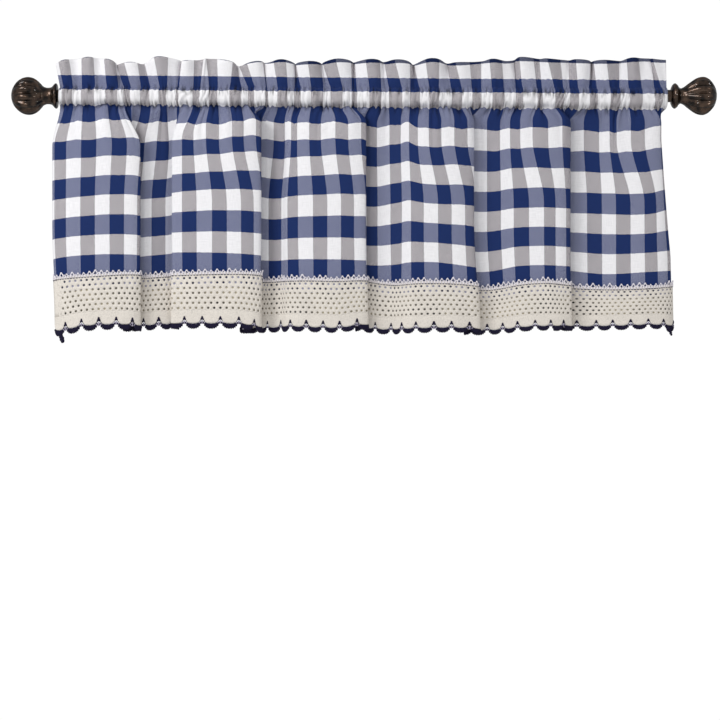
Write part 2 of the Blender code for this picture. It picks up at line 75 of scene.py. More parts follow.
# The hung folds: column of the flat cloth, pixel across at the middle and at the lower edge
# of the skirt, depth behind the rod's axis in millimetres (negative is nearer the viewer)
Fold = namedtuple("Fold", "column skirt_px hem_px depth_mm")
FOLDS = [Fold(*row) for row in (
    (-0.4, 52.4, 56.0, 3.0), (0.1, 55.2, 59.2, -3.5), (1.0, 66.0, 68.5, -11.0),
    (2.0, 80.3, 81.5, -14.0), (4.0, 109.5, 110.0, -16.0), (5.0, 124.0, 124.0, -15.5),
    (6.0, 137.0, 136.0, -12.5), (6.35, 140.5, 139.5, -9.5), (6.8, 136.5, 135.0, -6.6),
    (7.5, 128.5, 127.5, -6.4), (7.8, 123.0, 122.0, -2.2), (8.1, 128.5, 127.5, 2.0),
    (9.0, 140.0, 140.0, 2.5), (10.0, 151.5, 151.5, 5.0), (11.0, 165.5, 165.5, 6.5),
    (12.0, 175.0, 175.0, 6.8), (12.5, 180.0, 180.0, 1.6), (12.9, 175.0, 175.0, -3.6),
    (13.2, 172.0, 172.5, -6.6), (14.0, 182.0, 183.0, -11.0), (16.0, 212.0, 212.0, -15.0),
    (18.0, 241.0, 242.0, -16.5), (19.0, 253.7, 254.0, -15.0), (19.7, 260.5, 259.5, -11.0),
    (20.1, 261.0, 260.0, -6.5), (20.7, 254.5, 253.5, -4.8), (21.3, 246.0, 245.0, -4.5),
    (21.65, 240.0, 239.0, 1.0), (22.0, 246.0, 245.5, 6.6), (23.2, 262.0, 262.0, 8.0),
    (24.0, 268.5, 269.0, 9.0), (25.0, 281.5, 281.5, 4.0), (26.0, 287.5, 288.5, -7.0),
    (27.0, 298.0, 300.0, -13.0), (28.0, 313.0, 314.0, -15.0), (30.0, 341.0, 341.0, -16.5),
    (31.0, 354.0, 355.5, -15.0), (31.7, 362.5, 363.5, -12.5), (32.05, 366.0, 367.0, -9.5),
    (32.45, 362.0, 363.0, -6.8), (32.8, 357.0, 358.0, -4.2), (33.05, 353.5, 354.5, -0.5),
    (33.35, 357.5, 358.5, 2.6), (34.0, 366.5, 367.5, 3.4), (35.0, 377.5, 378.0, 4.2),
    (36.0, 390.5, 392.0, 4.6), (37.0, 402.0, 401.0, -3.0), (38.0, 411.0, 411.5, -11.0),
    (40.0, 438.0, 440.0, -15.0), (42.0, 465.0, 469.0, -13.0), (42.5, 471.5, 476.5, -10.5),
    (42.85, 474.0, 479.0, -7.0), (43.3, 468.0, 473.0, -4.2), (43.7, 462.0, 467.0, -4.2),
    (44.0, 458.0, 463.0, -0.4), (44.3, 462.0, 467.0, 3.4), (45.1, 474.0, 479.0, 5.0),
    (46.0, 487.0, 492.0, 6.0), (47.0, 501.0, 505.0, 1.0), (48.0, 513.7, 517.0, -6.0),
    (50.0, 544.0, 545.0, -12.5), (51.0, 555.5, 556.0, -12.0), (52.0, 566.0, 566.0, -9.0),
    (52.4, 570.5, 570.5, -5.5), (52.9, 564.5, 564.5, -2.2), (53.5, 556.5, 556.5, -2.0),
    (53.8, 552.5, 552.5, 1.8), (54.1, 556.5, 556.5, 5.6), (55.1, 572.0, 572.5, 7.0),
    (56.0, 587.0, 588.0, 7.5), (58.0, 616.0, 616.2, 0.5), (60.0, 644.5, 645.5, -4.0),
    (61.0, 657.0, 658.5, -2.5), (62.0, 667.0, 668.3, 2.0), (62.7, 670.0, 671.8, 8.0),
    (63.82, 663.5, 665.0, 17.0))]

# The folds run a little aslant across the checks: check columns by which they lie further
# right just below the pocket
Slide = namedtuple("Slide", "column columns_right")
SLIDES = [Slide(*row) for row in (
    (-0.4, 0.0), (14.0, 0.0), (16.0, 0.4), (18.0, 0.65), (19.0, 0.8), (20.1, 0.8), (21.3, 0.4),
    (22.5, 0.0), (24.0, -0.4), (25.0, -0.6), (26.0, -0.4), (27.0, 0.07), (28.0, 0.25),
    (29.0, 0.45), (30.0, 0.42), (31.0, 0.45), (32.5, 0.4), (34.0, 0.2), (35.0, 0.05),
    (36.0, 0.08), (38.0, 0.2), (40.0, 0.65), (41.5, 0.78), (43.6, 0.75), (45.0, 0.25),
    (46.0, 0.0), (47.0, 0.07), (48.0, 0.28), (49.0, 0.55), (50.0, 0.78), (51.0, 0.65),
    (52.0, 0.35), (53.5, 0.12), (56.0, 0.2), (57.0, 0.2), (58.0, 0.45), (59.0, 0.95),
    (60.0, 0.98), (61.0, 0.85), (62.0, 0.0), (63.82, 0.0))]

# The gathers: pixel across of each check column along the rod, and along the heading's top
Gather = namedtuple("Gather", "column top_px rod_px")
GATHERS = [Gather(*row) for row in (
    (-0.4, 56.0, 60.3), (1.0, 68.7, 73.0), (2.0, 82.0, 82.4), (3.0, 93.0, 95.0),
    (4.0, 105.0, 107.2), (5.0, 114.3, 118.0), (6.0, 116.6, 124.5), (7.0, 125.2, 131.4),
    (8.0, 137.0, 141.0), (9.0, 144.3, 150.6), (10.0, 154.8, 160.0), (11.0, 167.8, 166.8),
    (12.0, 179.6, 176.8), (13.0, 182.5, 179.5), (14.0, 193.4, 193.0), (15.0, 204.2, 200.5),
    (16.0, 205.6, 209.0), (17.0, 217.8, 218.4), (18.0, 232.4, 230.0), (19.0, 236.2, 241.6),
    (20.0, 239.8, 248.4), (21.0, 247.7, 254.9), (22.0, 261.8, 265.2), (23.0, 264.8, 267.2),
    (24.0, 274.1, 278.0), (25.0, 285.6, 287.8), (26.0, 294.5, 294.2), (27.0, 296.8, 301.2),
    (28.0, 307.9, 311.2), (29.0, 320.0, 323.0), (30.0, 323.4, 330.8), (31.0, 335.8, 342.4),
    (32.0, 350.0, 351.3), (33.0, 355.7, 357.0), (34.0, 366.0, 369.4), (35.0, 379.0, 381.0),
    (36.0, 385.2, 389.0), (37.0, 394.7, 402.0), (38.0, 409.2, 409.8), (39.0, 415.3, 419.6),
    (40.0, 425.8, 429.2), (41.0, 438.7, 438.6), (42.0, 447.2, 451.4), (43.0, 455.8, 461.8),
    (44.0, 469.2, 471.4), (45.0, 481.4, 481.2), (46.0, 489.7, 491.9), (47.0, 501.5, 503.6),
    (48.0, 513.7, 515.3), (49.0, 519.7, 522.4), (50.0, 533.0, 536.4), (51.0, 540.2, 542.0),
    (52.0, 547.0, 554.2), (53.0, 560.2, 563.0), (54.0, 568.9, 569.4), (55.0, 575.8, 578.0),
    (56.0, 590.2, 588.4), (57.0, 594.8, 597.0), (58.0, 605.8, 609.2), (59.0, 619.2, 619.2),
    (60.0, 627.2, 628.6), (61.0, 638.0, 641.4), (62.0, 651.0, 654.2), (63.0, 652.6, 660.8),
    (63.82, 666.5, 666.5))]

# Check columns at which the ruffles of the heading stand nearest to the viewer
RUFFLE_CRESTS = (-2.0, 0.5, 2.6, 4.4, 7.4, 10.3, 13.4, 15.4, 17.5, 21.4, 24.5, 28.0, 31.0,
                 34.4, 37.0, 40.6, 43.2, 46.2, 49.2, 51.8, 55.2, 57.8, 60.4, 62.6, 65.0)

# Edges that run along the cloth: column, and pixel height
Level = namedtuple("Level", "column px")
HEADING_TOP = [Level(*row) for row in (
    (-0.4, 63.0), (0.6, 60.4), (2.5, 57.6), (4.6, 60.4), (5.6, 63.8), (7.6, 62.6), (8.6, 63.6),
    (10.2, 57.2), (11.5, 58.6), (12.6, 61.0), (14.6, 59.6), (16.6, 58.6), (18.6, 63.6),
    (20.4, 65.6), (21.6, 61.6), (23.6, 62.2), (24.5, 60.0), (26.4, 63.2), (28.5, 61.6),
    (29.6, 62.8), (31.2, 59.2), (32.8, 61.4), (34.5, 59.6), (36.2, 61.4), (37.4, 60.0),
    (38.8, 63.4), (40.4, 58.8), (42.2, 62.6), (45.4, 60.4), (46.4, 59.4), (47.4, 60.6),
    (48.6, 57.8), (50.0, 57.9), (52.4, 59.2), (54.4, 59.6), (57.4, 60.6), (59.4, 59.8),
    (60.5, 58.2), (63.82, 59.4))]
LACE_TOP = [Level(*row) for row in (
    (-0.4, 276.5), (3.0, 269.5), (6.0, 271.0), (9.0, 275.0), (13.0, 273.0), (18.5, 272.5),
    (20.0, 274.0), (23.5, 279.0), (30.0, 276.0), (35.5, 282.5), (40.5, 279.5), (45.5, 287.5),
    (50.0, 281.5), (56.0, 287.0), (63.82, 284.5))]

# Where the check rows fall: pixel heights of the tops of rows 4, 6, 8 and 10 at a column
CheckLine = namedtuple("CheckLine", "column row4 row6 row8 row10")
CHECK_LINES = [CheckLine(*row) for row in (
    (-0.4, 125.0, 161.0, 201.0, 240.0), (1.5, 122.0, 158.5, 197.5, 236.5),
    (5.5, 120.0, 156.0, 194.5, 234.5), (8.0, 122.5, 162.0, 199.0, 238.0),
    (10.0, 122.0, 161.0, 198.5, 236.5), (12.0, 121.0, 158.0, 195.5, 234.0),
    (13.5, 123.0, 156.5, 192.5, 232.5), (16.5, 124.0, 154.0, 189.0, 231.5),
    (19.5, 120.0, 151.5, 190.0, 233.5), (22.0, 122.0, 155.0, 195.0, 238.0),
    (24.0, 122.0, 158.5, 198.5, 240.0), (27.0, 123.0, 157.0, 195.5, 238.0),
    (31.0, 123.0, 155.0, 194.0, 238.0), (32.2, 123.5, 155.8, 195.2, 239.0),
    (33.2, 126.0, 163.5, 203.5, 243.6), (36.5, 125.0, 163.5, 203.0, 244.0),
    (37.5, 123.0, 161.5, 200.5, 242.0), (39.5, 128.0, 165.0, 203.5, 242.5),
    (42.5, 128.0, 165.0, 205.5, 246.5), (45.5, 130.0, 172.0, 212.0, 252.0),
    (48.5, 129.0, 168.0, 208.0, 246.5), (52.0, 127.0, 168.5, 208.5, 247.0),
    (54.0, 130.0, 170.5, 212.0, 250.0), (57.0, 131.5, 172.5, 214.0, 254.0),
    (60.5, 130.5, 172.0, 214.0, 252.5), (62.0, 125.5, 169.5, 210.5, 250.8),
    (63.82, 123.5, 168.0, 209.0, 250.0))]
ROW1_LEFT, ROW1_RIGHT = 75.0, 80.5
ROW2_LEFT, ROW2_RIGHT = 89.5, 94.0
ROW3_LEFT, ROW3_RIGHT = 104.5, 109.5
TOP_ROW_LEFT, TOP_ROW_RIGHT = 0.0, 0.21
TOP_ROW_START, TOP_ROW_END = 18.0, 28.0

UPPER_STITCH = 10.8 * MM
LOWER_STITCH_LEFT = -12.0 * MM
LOWER_STITCH_RIGHT = -15.5 * MM
SPREAD_START, SPREAD_END_LEFT, SPREAD_END_RIGHT = -13.0 * MM, -66.0 * MM, -34.0 * MM
SPREAD_CHANGE_START, SPREAD_CHANGE_END = 12.0, 18.0
SLIDE_START, SLIDE_END = -57.0 * MM, -141.0 * MM
EDGE_IN_PX, EDGE_IN_FIRST, EDGE_IN_LAST = 9.5, 60.3, 62.9
EDGE_IN_START, EDGE_IN_END = -55.6 * MM, -205.6 * MM
FOLD_START, FOLD_END = -2.0 * MM, -42.0 * MM
DRIFT_START, DRIFT_END = -165.0 * MM, -300.0 * MM
RUFFLE_TOP_DEPTH = 5.0 * MM
RUFFLE_STITCH_DEPTH = 1.2 * MM
STITCH_EASE = 9.0 * MM

# Stations along the cloth per check column where it is gathered, and the rows of each part
FINE_STATIONS = 12
SKIRT_COARSE_ROWS = 24
SKIRT_FINE_ROWS = 18
FINE_START = -84.0 * MM
POCKET_ROWS = 12
HEADING_ROWS = 9
BACK_HEADING_ROWS = 4
BACK_POCKET_ROWS = 8
TOP_ROUND = 1.0 * MM

# On the stitches the gathered cloth stands in small round puffs with sharp creases
# between them, and wider gathers fall from the pocket. Lengths are in check columns.
PUFF_LENGTH = 0.78
PUFF_DEPTH = 3.6 * MM
PUFF_RISE = 4.2 * MM
SMALL_PUFF_RISE = 1.7 * MM
PUFF_REACH = 13.0 * MM
POCKET_PUFF_DEPTH = 2.8 * MM
GATHER_LENGTH = 1.9
GATHER_DEPTH = 6.5 * MM
GATHER_REACH = 30.0 * MM
SWAY_HEIGHT = 1.5 * MM
SWAY_REACH = 50.0 * MM

# How far the creases of the pocket lean to the right over its height, in check columns
Lean = namedtuple("Lean", "column lean")
LEANS = [Lean(*row) for row in (
    (-0.4, 0.0), (4.0, 0.0), (5.6, -0.6), (7.5, 0.1), (12.0, 0.0), (13.6, 1.3), (15.5, 0.9),
    (17.0, 0.0), (25.0, 0.2), (33.0, 0.0), (40.0, 0.4), (49.0, 0.3), (50.3, 0.7), (52.5, 1.2),
    (55.0, 1.2), (57.0, 0.2), (58.6, 0.9), (60.5, 0.1), (63.82, 0.0))]

# Narrow pleats of the heading: column of the crease, how deep it goes back, and half its width
Pleat = namedtuple("Pleat", "column depth_mm half_width")
PLEATS = [Pleat(*row) for row in (
    (5.4, 8.0, 0.5), (9.0, 4.0, 0.5), (12.4, 11.2, 0.45), (15.5, 5.6, 0.4), (18.9, 7.2, 0.55),
    (22.4, 8.8, 0.45), (26.4, 10.4, 0.45), (29.4, 8.0, 0.45), (32.5, 7.2, 0.5), (35.5, 4.8, 0.5),
    (38.6, 8.8, 0.5), (42.0, 6.4, 0.5), (45.4, 4.0, 0.5), (48.3, 10.4, 0.45), (51.2, 4.8, 0.5),
    (54.2, 6.4, 0.5), (56.4, 8.0, 0.45), (59.4, 4.8, 0.5), (62.4, 10.4, 0.45))]


def smoothstep(start, end, value):
    """0 before start, 1 past end, an eased ramp between."""
    share = np.clip((value - start) / (end - start), 0.0, 1.0)
    return share * share * (3.0 - 2.0 * share)


def curve_through(knots, values, where):
    """Cubic curve through (knots, values), read at where."""
    knots = np.asarray(knots, float)
    values = np.asarray(values, float)
    where = np.asarray(where, float)
    slopes = np.gradient(values, knots)
    piece = np.clip(np.searchsorted(knots, where, side="right") - 1, 0, len(knots) - 2)
    width = knots[piece + 1] - knots[piece]
    share = (where - knots[piece]) / width
    start_weight = (1.0 + 2.0 * share) * (1.0 - share) ** 2
    end_weight = share ** 2 * (3.0 - 2.0 * share)
    start_slope = share * (1.0 - share) ** 2 * width
    end_slope = share ** 2 * (share - 1.0) * width
    return (start_weight * values[piece] + end_weight * values[piece + 1]
            + start_slope * slopes[piece] + end_slope * slopes[piece + 1])


def table_value(table, name, columns):
    """One named value of a table, read at these columns."""
    knots = [row.column for row in table]
    return curve_through(knots, [getattr(row, name) for row in table], columns)


def from_pixel_x(pixel, depth):
    """X of a point seen at this pixel, at this depth."""
    from_view = (pixel - VIEW_PIXEL_X) * PIXEL_SIZE * (1.0 + depth / VIEW_DISTANCE)
    return from_view + (VIEW_PIXEL_X - ORIGIN_PIXEL_X) * PIXEL_SIZE


def from_pixel_y(pixel, depth):
    """Z of a point seen at this pixel, at this depth."""
    from_view = (VIEW_PIXEL_Y - pixel) * PIXEL_SIZE * (1.0 + depth / VIEW_DISTANCE)
    return from_view + (ORIGIN_PIXEL_Y - VIEW_PIXEL_Y) * PIXEL_SIZE


def seen_pixel_y(height, depth):
    """Pixel height at which a point at this depth is seen."""
    from_view = height - (ORIGIN_PIXEL_Y - VIEW_PIXEL_Y) * PIXEL_SIZE
    return VIEW_PIXEL_Y - from_view / (PIXEL_SIZE * (1.0 + depth / VIEW_DISTANCE))


def level(table, columns):
    """Height of a long edge at these columns."""
    return from_pixel_y(table_value(table, "px", columns), 0.0)


def ruffle_wave(columns):
    """1 at the crest of each ruffle, -1 in the hollow between two."""
    crests = np.asarray(RUFFLE_CRESTS)
    piece = np.clip(np.searchsorted(crests, columns, side="right") - 1, 0, len(crests) - 2)
    share = (columns - crests[piece]) / (crests[piece + 1] - crests[piece])
    return np.cos(2.0 * math.pi * share)


def puffs(columns, length, start):
    """1 on top of each round puff, 0 in the sharp crease between two, unevenly spaced."""
    drift = (columns / length + 0.42 * np.sin(2.0 * math.pi * columns / 5.9 + start)
             + 0.2 * np.sin(2.0 * math.pi * columns / 2.3 + 2.0 * start))
    size = 0.72 + 0.28 * np.sin(2.0 * math.pi * columns / 3.1 + 1.3 * start)
    return size * np.abs(np.sin(math.pi * drift))


def skirt_plan(columns, height):
    """X and Y of the hanging cloth's middle surface at one height per column."""
    changed = smoothstep(SPREAD_CHANGE_START, SPREAD_CHANGE_END, columns)
    spread_end = SPREAD_END_LEFT + changed * (SPREAD_END_RIGHT - SPREAD_END_LEFT)
    spread = smoothstep(SPREAD_START, spread_end, height)
    drift = smoothstep(DRIFT_START, DRIFT_END, height)
    upper = 1.0 - smoothstep(SLIDE_START, SLIDE_END, height)
    slid = columns - upper * table_value(SLIDES, "columns_right", columns)
    growth = smoothstep(FOLD_START, FOLD_END, height)
    below = np.maximum(lower_stitch - height, 0.0)
    hang = (1.0 - np.exp(-below / (4.0 * MM))) * np.exp(-below / GATHER_REACH)
    depth = growth * table_value(FOLDS, "depth_mm", slid) * MM
    depth = depth - GATHER_DEPTH * hang * (puffs(columns, GATHER_LENGTH, 1.0) - 0.15)
    hung = ((1.0 - drift) * table_value(FOLDS, "skirt_px", slid)
            + drift * table_value(FOLDS, "hem_px", slid))
    narrowed = 1.0 - np.clip((height - EDGE_IN_START) / (EDGE_IN_END - EDGE_IN_START), 0.0, 1.0)
    hung = hung - EDGE_IN_PX * narrowed * smoothstep(EDGE_IN_FIRST, EDGE_IN_LAST, columns)
    pixels = (1.0 - spread) * table_value(GATHERS, "rod_px", columns) + spread * hung
    return from_pixel_x(pixels, depth), depth


def plan_normals(across, depth):
    """Unit normals of a plan line, on the side of the viewer."""
    along = np.stack([np.gradient(across), np.gradient(depth)], axis=1)
    along /= np.linalg.norm(along, axis=1)[:, None]
    return along[:, 1], -along[:, 0]


def pleat_depth(columns):
    """How far the narrow pleats of the heading stand back."""
    return sum(pleat.depth_mm * MM * np.exp(-((columns - pleat.column) / pleat.half_width) ** 2)
               for pleat in PLEATS)


def heading_depth(share):
    """Depth of the heading, share 0 at its stitching and 1 at its top."""
    ruffle = RUFFLE_STITCH_DEPTH + share * (RUFFLE_TOP_DEPTH - RUFFLE_STITCH_DEPTH)
    return pleat_depth(stations) * (0.25 + 0.75 * share) - wave * ruffle


def check_row(columns, height, depth):
    """Row of checks, counted from the heading's top, at which each point of the front lies."""
    share = (columns - FIRST_COLUMN) / (LAST_COLUMN - FIRST_COLUMN)
    top_row = TOP_ROW_LEFT + smoothstep(TOP_ROW_START, TOP_ROW_END, columns) * TOP_ROW_RIGHT
    row8 = table_value(CHECK_LINES, "row8", columns)
    row10 = table_value(CHECK_LINES, "row10", columns)
    lines = np.stack([
        table_value(HEADING_TOP, "px", columns),
        ROW1_LEFT + share * (ROW1_RIGHT - ROW1_LEFT),
        ROW2_LEFT + share * (ROW2_RIGHT - ROW2_LEFT),
        ROW3_LEFT + share * (ROW3_RIGHT - ROW3_LEFT),
        table_value(CHECK_LINES, "row4", columns),
        table_value(CHECK_LINES, "row6", columns),
        row8,
        row10,
        row10 + 1.25 * (row10 - row8)], axis=1)
    pixels = seen_pixel_y(height, depth)
    rows = np.empty_like(columns)
    for place in range(len(columns)):
        counts = [-top_row[place], 1.0, 2.0, 3.0, 4.0, 6.0, 8.0, 10.0, 12.5]
        rows[place] = np.interp(pixels[place], lines[place], counts)
    return rows


stations = np.linspace(FIRST_COLUMN, LAST_COLUMN,
                       2 * int(round((LAST_COLUMN - FIRST_COLUMN) * FINE_STATIONS / 2)) + 1)
station_share = (stations - FIRST_COLUMN) / (LAST_COLUMN - FIRST_COLUMN)
lower_stitch = LOWER_STITCH_LEFT + station_share * (LOWER_STITCH_RIGHT - LOWER_STITCH_LEFT)
heading_top = level(HEADING_TOP, stations)
panel_hem = level(LACE_TOP, stations) - HEM_ALLOWANCE
wave = ruffle_wave(stations)
rod_across = from_pixel_x(table_value(GATHERS, "rod_px", stations), 0.0)
top_across = from_pixel_x(table_value(GATHERS, "top_px", stations), 0.0)
stitch_depth = heading_depth(0.0)
skirt_puffs = puffs(stations, PUFF_LENGTH, 0.0)
upper_puffs = puffs(stations, PUFF_LENGTH, 2.0)
small_puffs = puffs(stations, 0.5 * PUFF_LENGTH, 3.0)
lower_rise = PUFF_RISE * (skirt_puffs - 0.45) + SMALL_PUFF_RISE * (small_puffs - 0.4)
upper_rise = 0.6 * PUFF_RISE * (upper_puffs - 0.45) - SMALL_PUFF_RISE * (small_puffs - 0.4)
sway = (0.5 * np.sin(2.0 * math.pi * stations / 3.7 + 0.6)
        + np.arcsin(np.sin(math.pi * stations + 0.9 * np.sin(stations / 3.1) + 2.2)))

cloth_rows = []


def add_cloth_row(across, depth, height, lift, row, fine):
    """Keeps one row of the cloth, lifted towards the viewer, with its row of checks."""
    side_x, side_y = plan_normals(across, depth)
    across = across + lift * side_x
    depth = depth + lift * side_y
    cloth_rows.append((np.stack([across, depth, height], axis=1), row, fine))


# The skirt, from the hem up to the pocket's lower stitching
skirt_shares = [("coarse", place / SKIRT_COARSE_ROWS) for place in range(SKIRT_COARSE_ROWS)]
skirt_shares += [("fine", place / SKIRT_FINE_ROWS) for place in range(SKIRT_FINE_ROWS)]
for part, share in skirt_shares:
    if part == "coarse":
        height = panel_hem + share * (FINE_START - panel_hem)
    else:
        height = FINE_START + share * (lower_stitch - FINE_START)
    across, depth = skirt_plan(stations, height)
    below = lower_stitch - height
    row = check_row(stations, height, depth)
    near_stitch = 1.0 - smoothstep(0.0, STITCH_EASE, below)
    depth = depth + near_stitch * (stitch_depth - LAYER_OFFSET - depth)
    round_off = 1.0 - np.exp(-below / (1.2 * MM))
    lift = PUFF_DEPTH * round_off * (skirt_puffs - 0.3) * np.exp(-below / PUFF_REACH)
    height = height + lower_rise * np.exp(-below / PUFF_REACH)
    height = height + SWAY_HEIGHT * sway * round_off * np.exp(-below / SWAY_REACH)
    add_cloth_row(across, depth, height, lift, row, part == "fine")

# The pocket, bulging round the front of the rod between its two rows of stitching
for place in range(POCKET_ROWS):
    share = place / POCKET_ROWS
    height = lower_stitch + share * (UPPER_STITCH - lower_stitch)
    bulge = (1.0 - np.abs(2.0 * share - 1.0) ** 2.6) ** 0.55
    puffed = POCKET_RADIUS + POCKET_PUFF * 0.5 * (1.0 + wave)
    depth = (1.0 - bulge) * (stitch_depth - LAYER_OFFSET) - bulge * puffed
    row = check_row(stations, height, depth)
    leaned = stations - table_value(LEANS, "lean", stations) * (share - 0.5)
    creased = puffs(leaned, 0.85 * PUFF_LENGTH, 0.7)
    lift = POCKET_PUFF_DEPTH * creased * min(1.0, 5.0 * share, 5.0 * (1.0 - share))
    height = height + lower_rise * (1.0 - share) ** 2 + upper_rise * share ** 2
    add_cloth_row(rod_across, depth, height, lift, row, True)

# The heading's front layer, then its rounded top edge
for place in range(HEADING_ROWS + 1):
    share = place / HEADING_ROWS
    height = UPPER_STITCH + share * (heading_top - TOP_ROUND - UPPER_STITCH)
    across = rod_across + share * (top_across - rod_across)
    depth = heading_depth(share)
    row = check_row(stations, height, depth)
    lift = LAYER_OFFSET + 0.7 * PUFF_DEPTH * (upper_puffs - 0.3) * math.exp(-share * 4.0) * min(
        1.0, 6.0 * share)
    height = height + upper_rise * (1.0 - share) ** 3
    add_cloth_row(across, depth, height, lift, row, True)
top_depth = heading_depth(1.0)
top_row = cloth_rows[-1][1]
add_cloth_row(top_across, top_depth, heading_top, 0.0, top_row - 0.04, True)

# The turned-over layer behind the heading and behind the rod
for place in range(BACK_HEADING_ROWS + 1):
    share = 1.0 - place / BACK_HEADING_ROWS
    height = UPPER_STITCH + share * (heading_top - TOP_ROUND - UPPER_STITCH)
    across = rod_across + share * (top_across - rod_across)
    depth = heading_depth(share)
    height = height + upper_rise * (1.0 - share) ** 3
    row = top_row - 0.08 - 2.0 * (1.0 - share)
    add_cloth_row(across, depth, height, -LAYER_OFFSET, row, False)
for place in range(1, BACK_POCKET_ROWS + 1):
    share = place / BACK_POCKET_ROWS
    height = UPPER_STITCH + share * (lower_stitch + CLOTH_THICKNESS - UPPER_STITCH)
    bulge = (1.0 - np.abs(2.0 * share - 1.0) ** 2.6) ** 0.55
    depth = (1.0 - bulge) * (stitch_depth + LAYER_OFFSET) + bulge * POCKET_RADIUS
    height = height + upper_rise * (1.0 - share) ** 2 + lower_rise * share ** 2
    row = top_row - 2.08 - 1.3 * share
    add_cloth_row(rod_across, depth, height, 0.0, row, False)

panel_mesh = bpy.data.meshes.new("gingham_panel")
shell = bmesh.new()
cloth_uv = shell.loops.layers.uv.new("flat_cloth")
flat_spot = {}
previous = None
for points, row, fine in cloth_rows:
    step = 1 if fine else 2
    current = {}
    for place in range(0, len(stations), step):
        vertex = shell.verts.new(points[place])
        flat_spot[vertex] = ((stations[place] - FIRST_COLUMN) * CHECK_WIDTH,
                             (HEM_ROW - row[place]) * CHECK_HEIGHT)
        current[place] = vertex
    if previous is not None:
        for place in range(0, len(stations) - 1, 2):
            for start in ((place, place + 1) if place + 1 in current and place + 1 in previous
                          else (place,)):
                end = start + 1 if place + 1 in current and place + 1 in previous else start + 2
                ring = [previous[start]]
                if end - start == 2 and place + 1 in previous:
                    ring.append(previous[place + 1])
                ring.append(previous[end])
                ring.append(current[end])
                if end - start == 2 and place + 1 in current:
                    ring.append(current[place + 1])
                ring.append(current[start])
                shell.faces.new(ring)
    previous = current
for face in shell.faces:
    for loop in face.loops:
        loop[cloth_uv].uv = flat_spot[loop.vert]
shell.to_mesh(panel_mesh)
shell.free()
panel_mesh.shade_smooth()
panel = bpy.data.objects.new("gingham_panel", panel_mesh)
bpy.context.scene.collection.objects.link(panel)


def linear(hex_colour):
    """Linear colour of an sRGB hex value."""
    channels = [int(hex_colour[place:place + 2], 16) / 255 for place in (0, 2, 4)]
    return (*[channel / 12.92 if channel <= 0.04045 else ((channel + 0.055) / 1.055) ** 2.4
              for channel in channels], 1.0)


def add_node(tree, kind, links=(), **settings):
    """A node with its settings. Links are its inputs by name or number, or a plain list.

    A node among them stands for its first output.
    """
    node = tree.nodes.new(kind)
    for name, value in settings.items():
        setattr(node, name, value)
    for key, source in (links.items() if isinstance(links, dict) else enumerate(links)):
        if isinstance(source, bpy.types.Node):
            source = next(output for output in source.outputs if output.enabled)
        if isinstance(source, bpy.types.NodeSocket):
            tree.links.new(source, node.inputs[key])
        else:
            node.inputs[key].default_value = source
    return node


# Yarn-dyed plain weave: navy and white warp and weft cross, so the mixed checks show both
# yarns. The real threads are 0.3 mm apart; they are drawn twice as coarse to show at all.
WARP_THREADS = 30.0
WEFT_THREADS = 40.0
gingham = bpy.data.materials.new("yarn_dyed_gingham_cotton")
gingham.use_nodes = True
tree = gingham.node_tree
shader = tree.nodes["Principled BSDF"]
flat_uv = add_node(tree, "ShaderNodeUVMap", uv_map="flat_cloth")
flat_xyz = add_node(tree, "ShaderNodeSeparateXYZ", {0: flat_uv})
edge_noise = add_node(tree, "ShaderNodeTexNoise", {"Vector": flat_uv, "Scale": 300.0})
edge_shift = add_node(tree, "ShaderNodeMath", [edge_noise, 0.05, -0.025],
                      operation="MULTIPLY_ADD")
column = add_node(tree, "ShaderNodeMath", [flat_xyz.outputs[0], 1.0 / CHECK_WIDTH, FIRST_COLUMN],
                  operation="MULTIPLY_ADD")
column = add_node(tree, "ShaderNodeMath", [column, edge_shift], operation="ADD")
row = add_node(tree, "ShaderNodeMath", [flat_xyz.outputs[1], -1.0 / CHECK_HEIGHT, HEM_ROW],
               operation="MULTIPLY_ADD")
row = add_node(tree, "ShaderNodeMath", [row, edge_shift], operation="ADD")
warp_navy = add_node(tree, "ShaderNodeMath",
                     [add_node(tree, "ShaderNodeMath", [column, 2.0], operation="FLOORED_MODULO"),
                      1.0], operation="LESS_THAN")
weft_navy = add_node(tree, "ShaderNodeMath",
                     [add_node(tree, "ShaderNodeMath", [row, 2.0], operation="FLOORED_MODULO"),
                      1.0], operation="GREATER_THAN")
warp_count = add_node(tree, "ShaderNodeMath", [column, WARP_THREADS], operation="MULTIPLY")
weft_count = add_node(tree, "ShaderNodeMath", [row, WEFT_THREADS], operation="MULTIPLY")
crossing = add_node(tree, "ShaderNodeMath",
                    [add_node(tree, "ShaderNodeMath", [warp_count], operation="FLOOR"),
                     add_node(tree, "ShaderNodeMath", [weft_count], operation="FLOOR")],
                    operation="ADD")
warp_over = add_node(tree, "ShaderNodeMath",
                     [add_node(tree, "ShaderNodeMath", [crossing, 2.0],
                               operation="FLOORED_MODULO"), 0.5], operation="LESS_THAN")
over_white_weft = add_node(tree, "ShaderNodeMix",
                           {0: warp_over, 6: linear("D8D2D4"), 7: linear("65646E")},
                           data_type="RGBA")
over_navy_weft = add_node(tree, "ShaderNodeMix",
                          {0: warp_over, 6: linear("3F4874"), 7: linear("999DB2")},
                          data_type="RGBA")
white_weft = add_node(tree, "ShaderNodeMix",
                      {0: warp_navy, 6: linear("F0EFF2"), 7: over_white_weft}, data_type="RGBA")
navy_weft = add_node(tree, "ShaderNodeMix",
                     {0: warp_navy, 6: over_navy_weft, 7: linear("1B2E60")}, data_type="RGBA")
yarn_colour = add_node(tree, "ShaderNodeMix", {0: weft_navy, 6: white_weft, 7: navy_weft},
                       data_type="RGBA")
slub_along = add_node(tree, "ShaderNodeMapping", {0: flat_uv, "Scale": (1500.0, 90.0, 1.0)})
